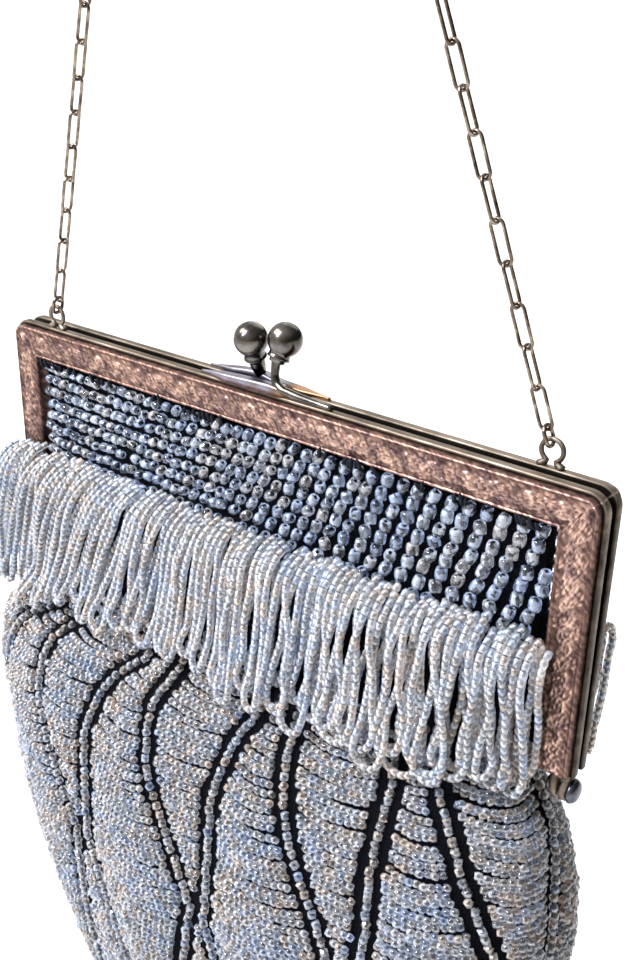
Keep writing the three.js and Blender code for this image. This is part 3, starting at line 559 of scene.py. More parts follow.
def clasp_ball(neck, centre):
    """Stepped collar and ball turned about the line from the neck to the ball's centre."""
    reach = np.linalg.norm(np.subtract(centre, neck))
    turn = np.linspace(np.pi - np.arcsin(COLLAR[-1][0] / BALL), 0.06, 22)
    ball = [(BALL * np.sin(angle), reach + BALL * np.cos(angle)) for angle in turn]
    return turned_on(COLLAR + ball, np.array(neck), np.subtract(centre, neck), 32)


# Smoked bronze of the balls and stems: dark and smooth, so that the window stands in it as a bright patch
bronze = mottled_metal("smoked_bronze", 3, 5.0, [(0.32, "#393632"), (0.7, "#716b63")], (0.26, 0.14))

# Nickel plate of the wings: dull lavender grey on the left, rubbed through to copper on the right
nickel, tree = new_material("rubbed_nickel_plate")
place = add_node(tree, "ShaderNodeTexCoord")
sides = add_node(tree, "ShaderNodeSeparateXYZ", {"Vector": place.outputs["Object"]})
thumb = add_node(tree, "ShaderNodeMapRange", {
    "Value": sides.outputs["X"], "From Min": float(metres((THUMB_FROM, 0, 0))[0]),
    "From Max": float(metres((THUMB_TO, 0, 0))[0])})
cloud = add_node(tree, "ShaderNodeTexNoise", {
    "Vector": place.outputs["Object"], "Scale": 1000 / 3, "Detail": 5.0, "Roughness": 0.6})
rubbed = add_node(tree, "ShaderNodeMath", {0: cloud.outputs["Fac"], 1: 0.9, 2: thumb.outputs["Result"]},
                  operation="MULTIPLY_ADD")
plate = add_node(tree, "ShaderNodeValToRGB", {"Fac": rubbed.outputs["Value"]}, stops=[
    (0.3, "#8b8894"), (1.0, "#9c7152"), (0.7, "#63564e")])
shader = add_node(tree, "ShaderNodeBsdfPrincipled", {
    "Base Color": plate.outputs["Color"], "Roughness": 0.4, "Metallic": 1.0})
add_node(tree, "ShaderNodeOutputMaterial", {"Surface": shader.outputs["BSDF"]})

for name, clasp in CLASPS.items():
    wing = clasp_wing(clasp["wing"])
    points, faces = joined([wing, clasp_stem(clasp["stem"]), clasp_ball(clasp["neck"], clasp["ball"])])
    is_ball = np.arange(sum(len(group) for group in faces)) >= sum(len(group) for group in wing[1])
    if clasp["is_back"]:
        points = turned_back(points)
    piece = put_mesh(name + "_turned", points, faces, [nickel, bronze], is_ball.astype(int))
    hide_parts(name)
    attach(piece, "root")

# Chain: long oval links of drawn silver-plated wire, each a quarter turn on from the last, with a round jump
# ring through the eye at each end. Both strands run straight up and bend over the hanging point.
LINK_PITCH = 6.35
LINK_WIRE = 0.6
LINK_RADIUS = 1.1
JUMP_WIRE = 0.7
JUMP_RADIUS = 1.15
JUMP_PITCH = 2.6
STRANDS_MEET = np.array([-7.5, -7, 178.6])
TURN_RADIUS = 12
EYE_BEARING = 1.13  # from an eye's middle to where its jump ring bears
LINK_PLAY = 0.05  # at each end of a link
LINK_STEPS, WIRE_SIDES = 22, 8  # points along a link, and round its wire
left_eye = np.array([EYE_X, RIM_Y, EYE_Z])
right_eye = turned_back(left_eye[None])[0]


def run_along(path):
    """Length of a path up to each of its points: a running sum of its chords."""
    return np.concatenate([[0], np.cumsum(np.linalg.norm(np.diff(path, axis=0), axis=1))])


def walked(path, run, lengths):
    """Points reached after given lengths along a path, on straight lines between its points."""
    return np.column_stack([np.interp(lengths, run, path[:, k]) for k in range(3)])


def chain_bearings():
    """Points where links bear on each other: an even walk up one strand, round the bend and down the other.
    The bend is a cubic curve that leaves both strands where a circle of its radius would touch them."""
    ways = [unit(STRANDS_MEET - eye) for eye in (left_eye, right_eye)]
    ends = [eye + EYE_BEARING * way for eye, way in zip((left_eye, right_eye), ways)]
    starts = [end + JUMP_PITCH * way for end, way in zip(ends, ways)]
    bend = np.pi - np.arccos(ways[0] @ ways[1])
    reach = TURN_RADIUS * np.tan(bend / 2)
    handle = reach - TURN_RADIUS * (4 / 3) * np.tan(bend / 4)
    control = [STRANDS_MEET - length * way for way, length in
               ((ways[0], reach), (ways[0], handle), (ways[1], handle), (ways[1], reach))]
    t = np.linspace(0, 1, 80)[:, None]
    curve = ((1 - t) ** 3 * control[0] + 3 * t * (1 - t) ** 2 * control[1]
             + 3 * t ** 2 * (1 - t) * control[2] + t ** 3 * control[3])
    path = np.concatenate([starts[:1], curve, starts[1:]])
    run = run_along(path)
    pairs = round((run[-1] / LINK_PITCH - 1) / 2)
    even = np.linspace(0, run[-1], 2 * pairs + 2)
    return np.concatenate([ends[:1], walked(path, run, even), ends[1:]])


def links(start, end, normal, radius, wire):
    """Rings of wire drawn out to ovals, one for each row: a circle parted in the middle and moved apart
    along the row's way, so that the inside of its ends lies on the bearing points."""
    way = unit(end - start)
    flat = unit(normal - (normal * way).sum(axis=1, keepdims=True) * way)
    across = np.cross(flat, way)
    drawn = np.linalg.norm(end - start, axis=1, keepdims=True) / 2 - radius + wire / 2 + LINK_PLAY
    turn = 2 * np.pi * (np.arange(LINK_STEPS) + 0.5) / LINK_STEPS
    outward = np.cos(turn)[:, None] * way[:, None] + np.sin(turn)[:, None] * across[:, None]
    centre = ((start + end) / 2)[:, None] + radius * outward
    centre = centre + np.sign(np.cos(turn))[:, None] * (drawn * way)[:, None]
    points = centre[:, :, None] + wire / 2 * spokes(outward, flat[:, None], WIRE_SIDES)
    first = (np.arange(len(start)) * LINK_STEPS * WIRE_SIDES)[:, None, None]
    return points.reshape(-1, 3), [(ring_quads(LINK_STEPS, WIRE_SIDES, True) + first).reshape(-1, 4)]


# Silver plate worn to its brown base: bright and dull in a mottle along the wire
chain_silver, tree = new_material("worn_silver_plated_wire")
place = add_node(tree, "ShaderNodeTexCoord")
wear = add_node(tree, "ShaderNodeTexNoise", {
    "Vector": place.outputs["Object"], "Scale": 1000 / 2.2, "Detail": 4.0, "Roughness": 0.65})
plate = add_node(tree, "ShaderNodeValToRGB", {"Fac": wear.outputs["Fac"]}, stops=[
    (0.3, "#3d332a"), (0.72, "#a89c8c"), (0.5, "#6d5e50")])
shader = add_node(tree, "ShaderNodeBsdfPrincipled", {
    "Base Color": plate.outputs["Color"], "Roughness": 0.26, "Metallic": 1.0})
add_node(tree, "ShaderNodeOutputMaterial", {"Surface": shader.outputs["BSDF"]})

bearings = chain_bearings()
start, end = bearings[:-1], bearings[1:]
normal = np.where((np.arange(len(start)) % 2 == 1)[:, None], (0.0, 1.0, 0.0), (1.0, 0.0, 0.0))
is_jump = np.isin(np.arange(len(start)), (0, len(start) - 1))
points, faces = joined([links(start[~is_jump], end[~is_jump], normal[~is_jump], LINK_RADIUS, LINK_WIRE),
                        links(start[is_jump], end[is_jump], normal[is_jump], JUMP_RADIUS, JUMP_WIRE)])
piece = put_mesh("chain_links", points, faces, [chain_silver])
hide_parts("chain")
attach(piece, "root")

# Pouch: black cotton cloth, cut as one tube and gathered to a hem, its mouth sewn inside the frame.
# The belly hangs out below the hinges in soft upright folds.
CLOTH_WALL = 1.2
BEAD_DEPTH = 1.6  # how far the cloth lies under the outside of the beads
POUCH_SECTIONS = np.array([  # z, half width, half depth, squareness, lean, share of the folds
    (-6.5, 59.6, 3.5, 6, 0, 0), (-24, 59.5, 4.6, 5, 0, 0), (-38, 59.4, 7.4, 3.4, 0, 0),
    (-50, 59.4, 11, 2.8, 0, 0.2), (-57, 60.6, 14, 2.8, -0.8, 0.5), (-62, 66.6, 16, 2.8, -3.6, 0.8),
    (-74, 71.4, 20.5, 2.7, -4.8, 1), (-90, 70.6, 23.5, 2.7, -2.6, 1), (-110, 66.3, 24, 2.7, -1.3, 1),
    (-132, 59.5, 23, 2.7, -0.4, 1), (-155, 51, 20.5, 2.6, 0, 1), (-174, 44, 16, 2.5, 0, 0.8),
    (-187, 36, 10.5, 2.3, 0, 0.5), (-193, 24, 5.5, 2.2, 0, 0),
])
FOLD_PITCH = 32
FOLD_HIGH = 1.1
POUCH_ROWS, POUCH_COLUMNS = 240, 480  # of the grid that beads are placed on
CLOTH_SIDES, OUTER_ROWS, INNER_ROWS = 120, 70, 40
WEAVE_PITCH = 0.7  # coarser than the real 0.3, so that it shows


def pouch_profile(z):
    """Sizes of the pouch at heights z: a cubic between neighbouring sections with the slope of the table."""
    heights = -POUCH_SECTIONS[:, 0]
    k = np.clip(np.searchsorted(heights, -z) - 1, 0, len(heights) - 2)
    step = heights[k + 1] - heights[k]
    t = ((-z - heights[k]) / step)[..., None]
    value = POUCH_SECTIONS[:, 1:]
    slope = np.gradient(value, heights, axis=0)
    return ((1 + 2 * t) * (1 - t) ** 2 * value[k] + t * (1 - t) ** 2 * step[..., None] * slope[k]
            + t * t * (3 - 2 * t) * value[k + 1] + t * t * (t - 1) * step[..., None] * slope[k + 1])


def pouch_outline(z, way, inset=0.0):
    """Points of the pouch at heights z and shares of a turn from the front's middle, by a superellipse whose
    folds stand out as a raised cosine of x."""
    half_width, half_depth, square, lean, fold = np.moveaxis(pouch_profile(z), -1, 0)
    across = np.sin(2 * np.pi * way)
    x = lean + (half_width - inset) * across
    depth = (half_depth - inset) * (1 - np.abs(across) ** square) ** (1 / square)
    wave = 0.5 - 0.5 * np.cos(2 * np.pi * x / FOLD_PITCH)
    depth = depth + FOLD_HIGH * fold * np.abs(np.cos(2 * np.pi * way)) * wave
    return np.stack([x, -np.sign(np.cos(2 * np.pi * way)) * depth, z + 0 * x], axis=-1)


heights = np.linspace(MOUTH_Z, POUCH_SECTIONS[-1, 0], POUCH_ROWS)
ways = np.linspace(-0.5, 0.5, 4 * POUCH_COLUMNS + 1)
outline = pouch_outline(heights[:, None], ways[None])
girth = np.stack([run_along(ring) for ring in outline])
PERIMETERS = girth[:, -1]
EVEN = np.linspace(0, 1, POUCH_COLUMNS + 1)
SKIN = np.stack([walked(ring, run / run[-1], EVEN) for ring, run in zip(outline, girth)])


def on_pouch(share, z, off=0.0):
    """Point on the pouch at a share of its girth from the front's middle, and a height: bilinear on its even
    grid, moved off along the normal, which is the cross product of the grid's two directions."""
    column = (share + 0.5) % 1 * POUCH_COLUMNS
    row = np.clip((MOUTH_Z - z) / (MOUTH_Z - POUCH_SECTIONS[-1, 0]), 0, 1) * (POUCH_ROWS - 1)
    i = np.minimum(row.astype(int), POUCH_ROWS - 2)
    j = np.minimum(column.astype(int), POUCH_COLUMNS - 1)
    s, t = (row - i)[..., None], (column - j)[..., None]
    a, b, c, d = SKIN[i, j], SKIN[i, j + 1], SKIN[i + 1, j], SKIN[i + 1, j + 1]
    point = (1 - s) * ((1 - t) * a + t * b) + s * ((1 - t) * c + t * d)
    outward = unit(np.cross(b - a + d - c, a - c + b - d))
    return point + np.asarray(off)[..., None] * outward, outward


def girth_at(z):
    """Length round the pouch at heights z."""
    return np.interp(-z, -heights, PERIMETERS)


def heights_down(top, steps):
    """Heights reached by going given lengths down the cloth from a height, along the middle of the front."""
    front = SKIN[:, POUCH_COLUMNS // 2]
    run = run_along(front)
    return np.interp(np.interp(-top, -heights, run) + steps, run, heights)


# Black cotton: matt and deep, with a plain weave that shows as a faint grid
cotton, tree = new_material("black_cotton_cloth")
place = add_node(tree, "ShaderNodeTexCoord")
warp = add_node(tree, "ShaderNodeTexWave", {
    "Vector": place.outputs["Object"], "Scale": WAVE_SCALE / WEAVE_PITCH}, bands_direction="X")
weft = add_node(tree, "ShaderNodeTexWave", {
    "Vector": place.outputs["Object"], "Scale": WAVE_SCALE / WEAVE_PITCH}, bands_direction="Z")
weave = add_node(tree, "ShaderNodeMath", {0: warp.outputs["Fac"], 1: weft.outputs["Fac"]}, operation="ADD")
thread = add_node(tree, "ShaderNodeValToRGB", {"Fac": weave.outputs["Value"]}, stops=[
    (0.2, "#020203"), (0.9, "#07070a")])
bump = add_node(tree, "ShaderNodeBump", {
    "Height": weave.outputs["Value"], "Strength": 0.4, "Distance": 0.0002})
shader = add_node(tree, "ShaderNodeBsdfPrincipled", {
    "Base Color": thread.outputs["Color"], "Roughness": 0.9, "Specular IOR Level": 0.06,
    "Normal": bump.outputs["Normal"]})
add_node(tree, "ShaderNodeOutputMaterial", {"Surface": shader.outputs["BSDF"]})

wall_ways = np.arange(CLOTH_SIDES) / CLOTH_SIDES
wall_foot = POUCH_SECTIONS[-1, 0] + BEAD_DEPTH
outer_z = np.linspace(MOUTH_Z, wall_foot, OUTER_ROWS)[:, None]
inner_z = np.linspace(MOUTH_Z, wall_foot + CLOTH_WALL, INNER_ROWS)[:, None]
outer = pouch_outline(outer_z, wall_ways[None], BEAD_DEPTH)
inner = pouch_outline(inner_z, wall_ways[None], BEAD_DEPTH + CLOTH_WALL)
points, faces = closed_tube(np.concatenate([outer[::-1], inner]))
cloth = put_mesh("pouch_cloth", points, faces, [cotton])
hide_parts("bag_body")
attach(cloth, "root")

# Panel: glass seed beads sewn one by one on the cloth between the frame's arms, in rows along the frame.
# On the left they crowd in close rows; to the right they part into leaning columns with the cloth between.
PANEL_BEAD = [(-60, 0.89), (-10, 0.97), (40, 1.12)]  # x, radius
PANEL_BEAD_LONG = 2.0  # for each millimetre of radius
PANEL_SUNK = 0.35  # of a bead's middle, under the outside of the pouch
PANEL_ROWS = np.arange(8)
PANEL_TOP = -7.7
PANEL_ROW_PITCH = 2.6
PANEL_PITCH = [(-60, 2.25), (-20, 2.55), (10, 2.7), (35, 3.2), (60, 3.35)]  # x, bead to bead along a row
PANEL_LEAN = [(-60, 0.9), (0, 1.4), (30, 0.9), (60, 0.65)]  # x, how far each row lies left of the row above
PANEL_TURN = [(-45, 0), (25, 1.45)]  # x, angle of the thread from level
PANEL_HALF = 59
PANEL_RUN = (-63, 68)  # x of the top row's first column, and where its columns end
PANEL_STRAY, SUNK_STRAY = 0.16, 0.1  # how far a bead sewn by hand strays on the cloth, and in depth
PANEL_TILT, PANEL_SKEW = 0.25, 0.15  # how far its thread strays, in the cloth's plane and all ways
PANEL_LOST = 0.006  # share of the beads that are gone
STITCHES = 46
STITCH_HIGH = (0.3, 1.7)
STITCH_SWAY = 0.7
STITCH = np.array([  # share of the sway, y, z, share of the height, radius
    (0, -2.2, -7.9, 0, 0.45), (0.2, -3.7, -7, 0, 0.42), (0.6, -4.1, -6.6, 0.6, 0.34),
    (1, -4.2, -6.6, 1, 0.1),
])
FACET = 0.85  # size of the cuts in the glass
BATCH = 14  # size of the patches sewn from one batch of beads
SILK_TWIST = 0.4
# Sections of beads, from the hole at one end to the hole at the other, as shares of radius and length
ROUND_BEAD = [(0.32, -0.5), (0.84, -0.47), (1.0, -0.2), (1.0, 0.2), (0.84, 0.47), (0.32, 0.5)]
TUBE_BEAD = [(0.32, -0.5), (0.97, -0.48), (0.97, 0.48), (0.32, 0.5)]
BARREL_BEAD = [(0.28, -0.5), (0.94, -0.32), (0.94, 0.32), (0.28, 0.5)]
SOLID_BEAD = [(0.78, -0.5), (1.0, 0), (0.78, 0.5)]  # its hole is hidden by the beads beside it


def bead_field(centres, along, radius, length, section, sides, seed, holed=True):
    """Many beads at once: a section turned about each bead's own axis. It closes inside the hole with a band
    of thread, or at both ends with a flat face. Ends are flat where the glass was cut, and every bead has a
    tone of its own."""
    rng = np.random.default_rng(seed)
    count = len(centres)
    along = unit(along)
    across = unit(np.cross(along, rng.normal(size=(count, 3))))
    share, step = np.array(section).T
    band = len(section)
    spoke = spokes(across, np.cross(along, across), sides)
    radius = np.broadcast_to(radius, count)[:, None, None, None]
    length = np.broadcast_to(length, count)[:, None, None, None]
    points = (centres[:, None, None] + length * step[:, None, None] * along[:, None, None]
              + radius * share[:, None, None] * spoke[:, None])
    quads = ring_quads(band, sides, holed)
    first = (np.arange(count) * band * sides)[:, None, None]
    faces = [(quads + first).reshape(-1, 4)]
    ring = np.repeat(np.arange(len(quads) // sides), sides)
    is_thread = np.tile(ring == band - 1, count)
    is_round = np.tile(~np.isin(ring, (0, band - 2)) | (not holed), count)
    if not holed:
        caps = np.stack([np.arange(sides)[::-1], np.arange(sides) + (band - 1) * sides])
        faces.append((caps + first).reshape(-1, sides))
        is_thread = np.concatenate([is_thread, np.zeros(2 * count, bool)])
        is_round = np.concatenate([is_round, np.zeros(2 * count, bool)])
    tone = np.repeat(rng.random(count), band * sides)
    return points.reshape(-1, 3), faces, is_thread.astype(int), tone, is_round


def bead_piece(name, fields, materials):
    """One object of several bead fields: faces, materials, tones and smoothing are joined in order."""
    points, faces = joined([field[:2] for field in fields])
    index, tone, is_round = (np.concatenate([field[k] for field in fields]) for k in (2, 3, 4))
    return put_mesh(name, points, faces, materials, index, is_round, tone=tone)


def panel_places(seed):
    """Centres, thread directions and radii of the panel's beads: a running sum of pitches gives the columns,
    and each row lies lower and further left; both wander a little as sewn by hand."""
    rng = np.random.default_rng(seed)
    pitch_x, pitch = np.array(PANEL_PITCH).T
    lean_x, lean = np.array(PANEL_LEAN).T
    columns = [PANEL_RUN[0]]
    while columns[-1] < PANEL_RUN[1]:
        columns.append(columns[-1] + np.interp(columns[-1], pitch_x, pitch))
    x, row = np.meshgrid(np.array(columns), PANEL_ROWS)
    x = x - row * np.interp(x, lean_x, lean) + rng.normal(0, PANEL_STRAY, x.shape)
    z = PANEL_TOP - PANEL_ROW_PITCH * row + rng.normal(0, PANEL_STRAY, x.shape)
    inside = (np.abs(x) < PANEL_HALF) & (rng.random(x.shape) > PANEL_LOST)
    x, z = x[inside], z[inside]
    centre, _ = on_pouch(x / girth_at(z), z, rng.normal(-PANEL_SUNK, SUNK_STRAY, len(x)))
    turn_x, turn = np.array(PANEL_TURN).T
    tilt = np.interp(x, turn_x, turn) + rng.normal(0, PANEL_TILT, len(x))
    along = np.column_stack([np.cos(tilt), np.zeros(len(x)), np.sin(tilt)])
    bead_x, bead = np.array(PANEL_BEAD).T
    along = unit(along + PANEL_SKEW * rng.normal(size=(len(x), 3)))
    return centre, along, np.interp(x, bead_x, bead)


def edge_stitches(seed):
    """Ends of the black sewing thread that fray out over the plate's inner edge: short tubes that rise from
    the cloth, lean forward and taper."""
    rng = np.random.default_rng(seed)
    roots = rng.uniform(-PANEL_HALF, PANEL_HALF, STITCHES)
    sways = rng.normal(0, STITCH_SWAY, STITCHES)
    highs = rng.uniform(*STITCH_HIGH, STITCHES)
    aside, y, z, up, radius = STITCH.T
    points, faces = joined([
        round_tube(np.column_stack([root + aside * sway, y, z + up * high]), radius, 5)
        for root, sway, high in zip(roots, sways, highs)])
    count = sum(len(group) for group in faces)
    return points, faces, np.ones(count, int), np.zeros(len(points)), np.ones(count, bool)


def bead_glass(name, band, cut, casts):
    """Clear glass, drawn and cut: a mix of a core that shows what lies behind and an edge that turns the
    room's light to the eye. A band of stops over the angle from facing gives the edge's share, and the cuts
    raise or lower it, cell by cell. Light falls through to the beads behind. The cast runs from blue to
    straw by the batch, and from bead to bead."""
    made, tree = new_material(name)
    tone = add_node(tree, "ShaderNodeAttribute", attribute_name="tone")
    place = add_node(tree, "ShaderNodeTexCoord")
    batch = add_node(tree, "ShaderNodeTexNoise", {
        "Vector": place.outputs["Object"], "Scale": 1000 / BATCH, "Detail": 2.0})
    mixed = add_node(tree, "ShaderNodeMath", {0: tone.outputs["Fac"], 1: 0.8, 2: batch.outputs["Fac"]},
                     operation="MULTIPLY_ADD")
    spread = add_node(tree, "ShaderNodeMapRange", {
        "Value": mixed.outputs["Value"], "From Min": 0.4, "From Max": 1.35})
    cast = add_node(tree, "ShaderNodeValToRGB", {"Fac": spread.outputs["Result"]}, stops=[
        (0.08, casts[0]), (0.92, casts[3]), (0.3, casts[1]), (0.65, casts[2])])
    core = add_node(tree, "ShaderNodeBsdfPrincipled", {
        "Base Color": cast.outputs["Color"], "Roughness": 0.05, "IOR": 1.52, "Transmission Weight": 1.0})
    edge = add_node(tree, "ShaderNodeBsdfPrincipled", {
        "Base Color": cast.outputs["Color"], "Roughness": 0.2, "IOR": 1.52})
    facing = add_node(tree, "ShaderNodeLayerWeight", {"Blend": 0.5})
    lit = add_node(tree, "ShaderNodeValToRGB", {"Fac": facing.outputs["Facing"]}, stops=band)
    cells = add_node(tree, "ShaderNodeTexVoronoi", {
        "Vector": place.outputs["Object"], "Scale": 1000 / FACET})
    turned = add_node(tree, "ShaderNodeMapRange", {
        "Value": cells.outputs["Color"], "From Min": 0.25, "From Max": 0.75,
        "To Min": 1 - cut, "To Max": 1 + cut})
    share = add_node(tree, "ShaderNodeMath", {0: lit.outputs["Color"], 1: turned.outputs["Result"]},
                     operation="MULTIPLY")
    glass = add_node(tree, "ShaderNodeMixShader", {
        0: share.outputs["Value"], 1: core.outputs["BSDF"], 2: edge.outputs["BSDF"]})
    ray = add_node(tree, "ShaderNodeLightPath")
    let_through = add_node(tree, "ShaderNodeBsdfTransparent", {"Color": linear("#b6bcc6")})
    shader = add_node(tree, "ShaderNodeMixShader", {
        0: ray.outputs["Is Shadow Ray"], 1: glass.outputs["Shader"], 2: let_through.outputs["BSDF"]})
    add_node(tree, "ShaderNodeOutputMaterial", {"Surface": shader.outputs["Shader"]})
    return made


# Drawn glass of three kinds of bead: the panel's sparkle from sharp cuts, the body's glint, and the fringe's
# are soft and pale
large_glass = bead_glass(
    "clear_glass_large_bead", [(0, "#767676"), (1, "#6c6c6c"), (0.3, "#8e8e8e"), (0.55, "#767676")], 0.9,
    ("#aebbd2", "#bdc6d6", "#cdd2db", "#d2cdc7"))
small_glass = bead_glass(
    "clear_glass_seed_bead", [(0, "#343434"), (0.85, "#505050"), (0.2, "#989898"), (0.45, "#989898")], 0.55,
    ("#b2bccd", "#c1c2c4", "#cac6c1", "#cebcab"))
fringe_glass = bead_glass(
    "clear_glass_fringe_bead",
    [(0, "#767676"), (0.75, "#606060"), (0.16, "#b0b0b0"), (0.36, "#b0b0b0"), (0.52, "#848484")], 0.3,
    ("#c4cbd6", "#d4d4d4", "#dad6d0", "#decdbc"))


def silk_thread(name, low, high):
    """Waxed silk, filling the holes of the beads: two tones of it by a fine twist."""
    made, tree = new_material(name)
    place = add_node(tree, "ShaderNodeTexCoord")
    twist = add_node(tree, "ShaderNodeTexNoise", {
        "Vector": place.outputs["Object"], "Scale": 1000 / SILK_TWIST, "Detail": 2.0})
    ply = add_node(tree, "ShaderNodeValToRGB", {"Fac": twist.outputs["Fac"]}, stops=[
        (0.3, low), (0.8, high)])
    shader = add_node(tree, "ShaderNodeBsdfPrincipled", {
        "Base Color": ply.outputs["Color"], "Roughness": 0.7, "Specular IOR Level": 0.1})
    add_node(tree, "ShaderNodeOutputMaterial", {"Surface": shader.outputs["BSDF"]})
    return made


# Waxed silk: black on the panel's cloth, grey where it is strung through small beads, with a dull sheen
black_silk = silk_thread("black_silk_thread", "#08090c", "#1c1f27")
grey_silk = silk_thread("grey_silk_thread", "#23272f", "#50545e")

for name, seed, facing in (("panel_front", 11, (1, 1, 1)), ("panel_back", 12, (-1, -1, 1))):
    centre, along, radius = panel_places(seed)
    fray, *fray_rest = edge_stitches(seed + 5)
    length = PANEL_BEAD_LONG * radius
    beads = bead_field(centre * facing, along * facing, radius, length, ROUND_BEAD, 8, seed)
    piece = bead_piece(name, [beads, (fray * facing, *fray_rest)], [large_glass, black_silk])
    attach(piece, "root")

# Body beading: glass seed beads sewn on the cloth with silk. Upright lines of single beads zigzag round the
# pouch, and between them hang close bars of beads on threads caught at both ends, so that each bar sags a
# little and stands off the cloth.
LINE_PAIRS = 9
LINE_SHIFT = -0.003  # of the girth
LINE_DRIFT = 0.01  # further round below the belly
DRIFT_FROM, DRIFT_OVER = -75, 25  # height where the drift starts, and how far down it grows
LINE_TOP = -48
LINE_FOOT = -190.5
LINE_RUN = 200  # longer than the way from top to foot, and cut off there
ZIGZAG_FROM = -57
ZIGZAG_HIGH = 47
ZIGZAG_NARROW, ZIGZAG_WIDE = 0.0055, 0.034  # half the gap within a pair, as shares of the girth
BEAD_SEAT = 0.9  # height of a bead's middle over the cloth, as a share of its radius
LINE_BEAD = 0.9
LINE_PITCH = 1.75
LINE_STRAY = (0.12, 0.15, 0.08)  # down, across and off the cloth
LINE_SKEW = 0.2
BAR_BEAD = 0.77
BAR_PITCH = 1.45  # bead to bead along a bar
BAR_BEAD_LONG = 0.96 * BAR_PITCH
BAR_ROW = 1.46  # bar to bar
BAR_BREAK, BREAK_CHANCE = 0.45, 1 / 8  # wider step between some bars
BAR_STRAY = (0.13, 0.25, 0.18)  # of a bar's height, of its ends, and of its beads off the cloth
BAR_TILT, BAR_SKEW = 0.3, 0.22
BAR_MARGIN = 2.8  # from a line to the bars beside it
BAR_COUNT = 120  # more than fit, and cut off at the foot
BAR_SAG, BAR_STAND = 0.06, 0.045  # drop, and height off the cloth, in mid bar, as shares of its length


def line_share(pair, side, z):
    """Share of the girth where a line runs: its pair's middle, plus or minus a gap that zigzags down."""
    phase = np.maximum((ZIGZAG_FROM - z) / ZIGZAG_HIGH, 0)
    zigzag = np.abs(1 - phase % 2)
    drift = LINE_DRIFT * np.clip((DRIFT_FROM - z) / DRIFT_OVER, 0, 1)
    return pair / LINE_PAIRS + LINE_SHIFT + drift + side * (ZIGZAG_NARROW + ZIGZAG_WIDE * zigzag)


def line_beads(seed):
    """Beads of the lines: even steps down each line, with the thread running down it."""
    rng = np.random.default_rng(seed)
    z = heights_down(LINE_TOP, np.arange(0, LINE_RUN, LINE_PITCH))
    z = z[z > LINE_FOOT]
    grids = np.meshgrid(np.arange(LINE_PAIRS), (-1, 1), z, indexing="ij")
    pair, side, z = (grid.ravel() for grid in grids)
    down, across, out = LINE_STRAY
    z = z + rng.normal(0, down, len(z))
    share = line_share(pair, side, z) + rng.normal(0, across, len(z)) / girth_at(z)
    off = LINE_BEAD * BEAD_SEAT - BEAD_DEPTH + rng.normal(0, out, len(z))
    centre, _ = on_pouch(share, z, off)
    below, _ = on_pouch(line_share(pair, side, z - 1), z - 1, off)
    return centre, unit(below - centre) + LINE_SKEW * rng.normal(size=centre.shape)


def bar_beads(seed):
    """Beads of the bars: on each row and in each gap between two lines, as many as fit, spread evenly; a bar
    drops and stands off by a parabola of the way across it."""
    rng = np.random.default_rng(seed)
    edges = [(pair, side) for pair in range(LINE_PAIRS) for side in (-1, 1)]
    down, across, out = BAR_STRAY
    found = []
    for pair, side in edges:
        next_pair, next_side = (pair, 1) if side < 0 else (pair + 1, -1)
        breaks = np.cumsum(rng.random(BAR_COUNT) < BREAK_CHANCE)
        z = heights_down(LINE_TOP, BAR_ROW * np.arange(BAR_COUNT) + BAR_BREAK * breaks)
        z = z[z > LINE_FOOT]
        z = z + rng.normal(0, down, len(z))
        around = girth_at(z)
        low = line_share(pair, side, z) * around + BAR_MARGIN + rng.normal(0, across, len(z))
        high = line_share(next_pair, next_side, z) * around - BAR_MARGIN + rng.normal(0, across, len(z))
        fits = np.floor((high - low) / BAR_PITCH).astype(int) + 1
        tilt = rng.normal(0, BAR_TILT, len(z))
        for row in np.flatnonzero(fits > 0):
            t = (np.arange(fits[row]) + 0.5) / fits[row]
            width = high[row] - low[row]
            arch = 4 * t * (1 - t)
            found.append(np.column_stack([
                (low[row] + width * t) / around[row],
                z[row] - BAR_SAG * width * arch + tilt[row] * (t - 0.5),
                BAR_BEAD * BEAD_SEAT - BEAD_DEPTH + BAR_STAND * width * arch + rng.normal(0, out, len(t))]))
    share, z, off = np.concatenate(found).T
    centre, _ = on_pouch(share, z, off)
    beside, _ = on_pouch(share + 0.5 / girth_at(z), z, off)
    return centre, unit(beside - centre) + BAR_SKEW * rng.normal(size=centre.shape)


line_centre, line_along = line_beads(21)
bar_centre, bar_along = bar_beads(22)
QUARTERS = {"front_left": (-1, -1), "front_right": (1, -1), "back_right": (1, 1), "back_left": (-1, 1)}
for k, (quarter, (side_x, side_y)) in enumerate(QUARTERS.items()):
    fields = []
    for centre, along, radius, length, section, seed, holed in (
            (line_centre, line_along, LINE_BEAD, LINE_PITCH, BARREL_BEAD, 31, True),
            (bar_centre, bar_along, BAR_BEAD, BAR_BEAD_LONG, SOLID_BEAD, 41, False)):
        here = (np.sign(centre[:, 0] + 1e-6) == side_x) & (np.sign(centre[:, 1] + 1e-6) == side_y)
        fields.append(bead_field(centre[here], along[here], radius, length, section, 6, seed + k, holed))
    piece = bead_piece("body_beads_" + quarter, fields, [small_glass, grey_silk])
    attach(piece, "root")

# Fringe: loops of small glass beads on silk, sewn side by side under a heading across each face of the bag.
# A loop springs out of the heading, turns over and hangs, one leg down and the other up again.
FRINGE_TOP = -25.4
FRINGE_LEFT = -65
FRINGE_RIGHT = {"fringe_front": 62, "fringe_back": 65.8}
LOOP_PITCH = 3.1
LEG_APART = 1.5  # at the heading
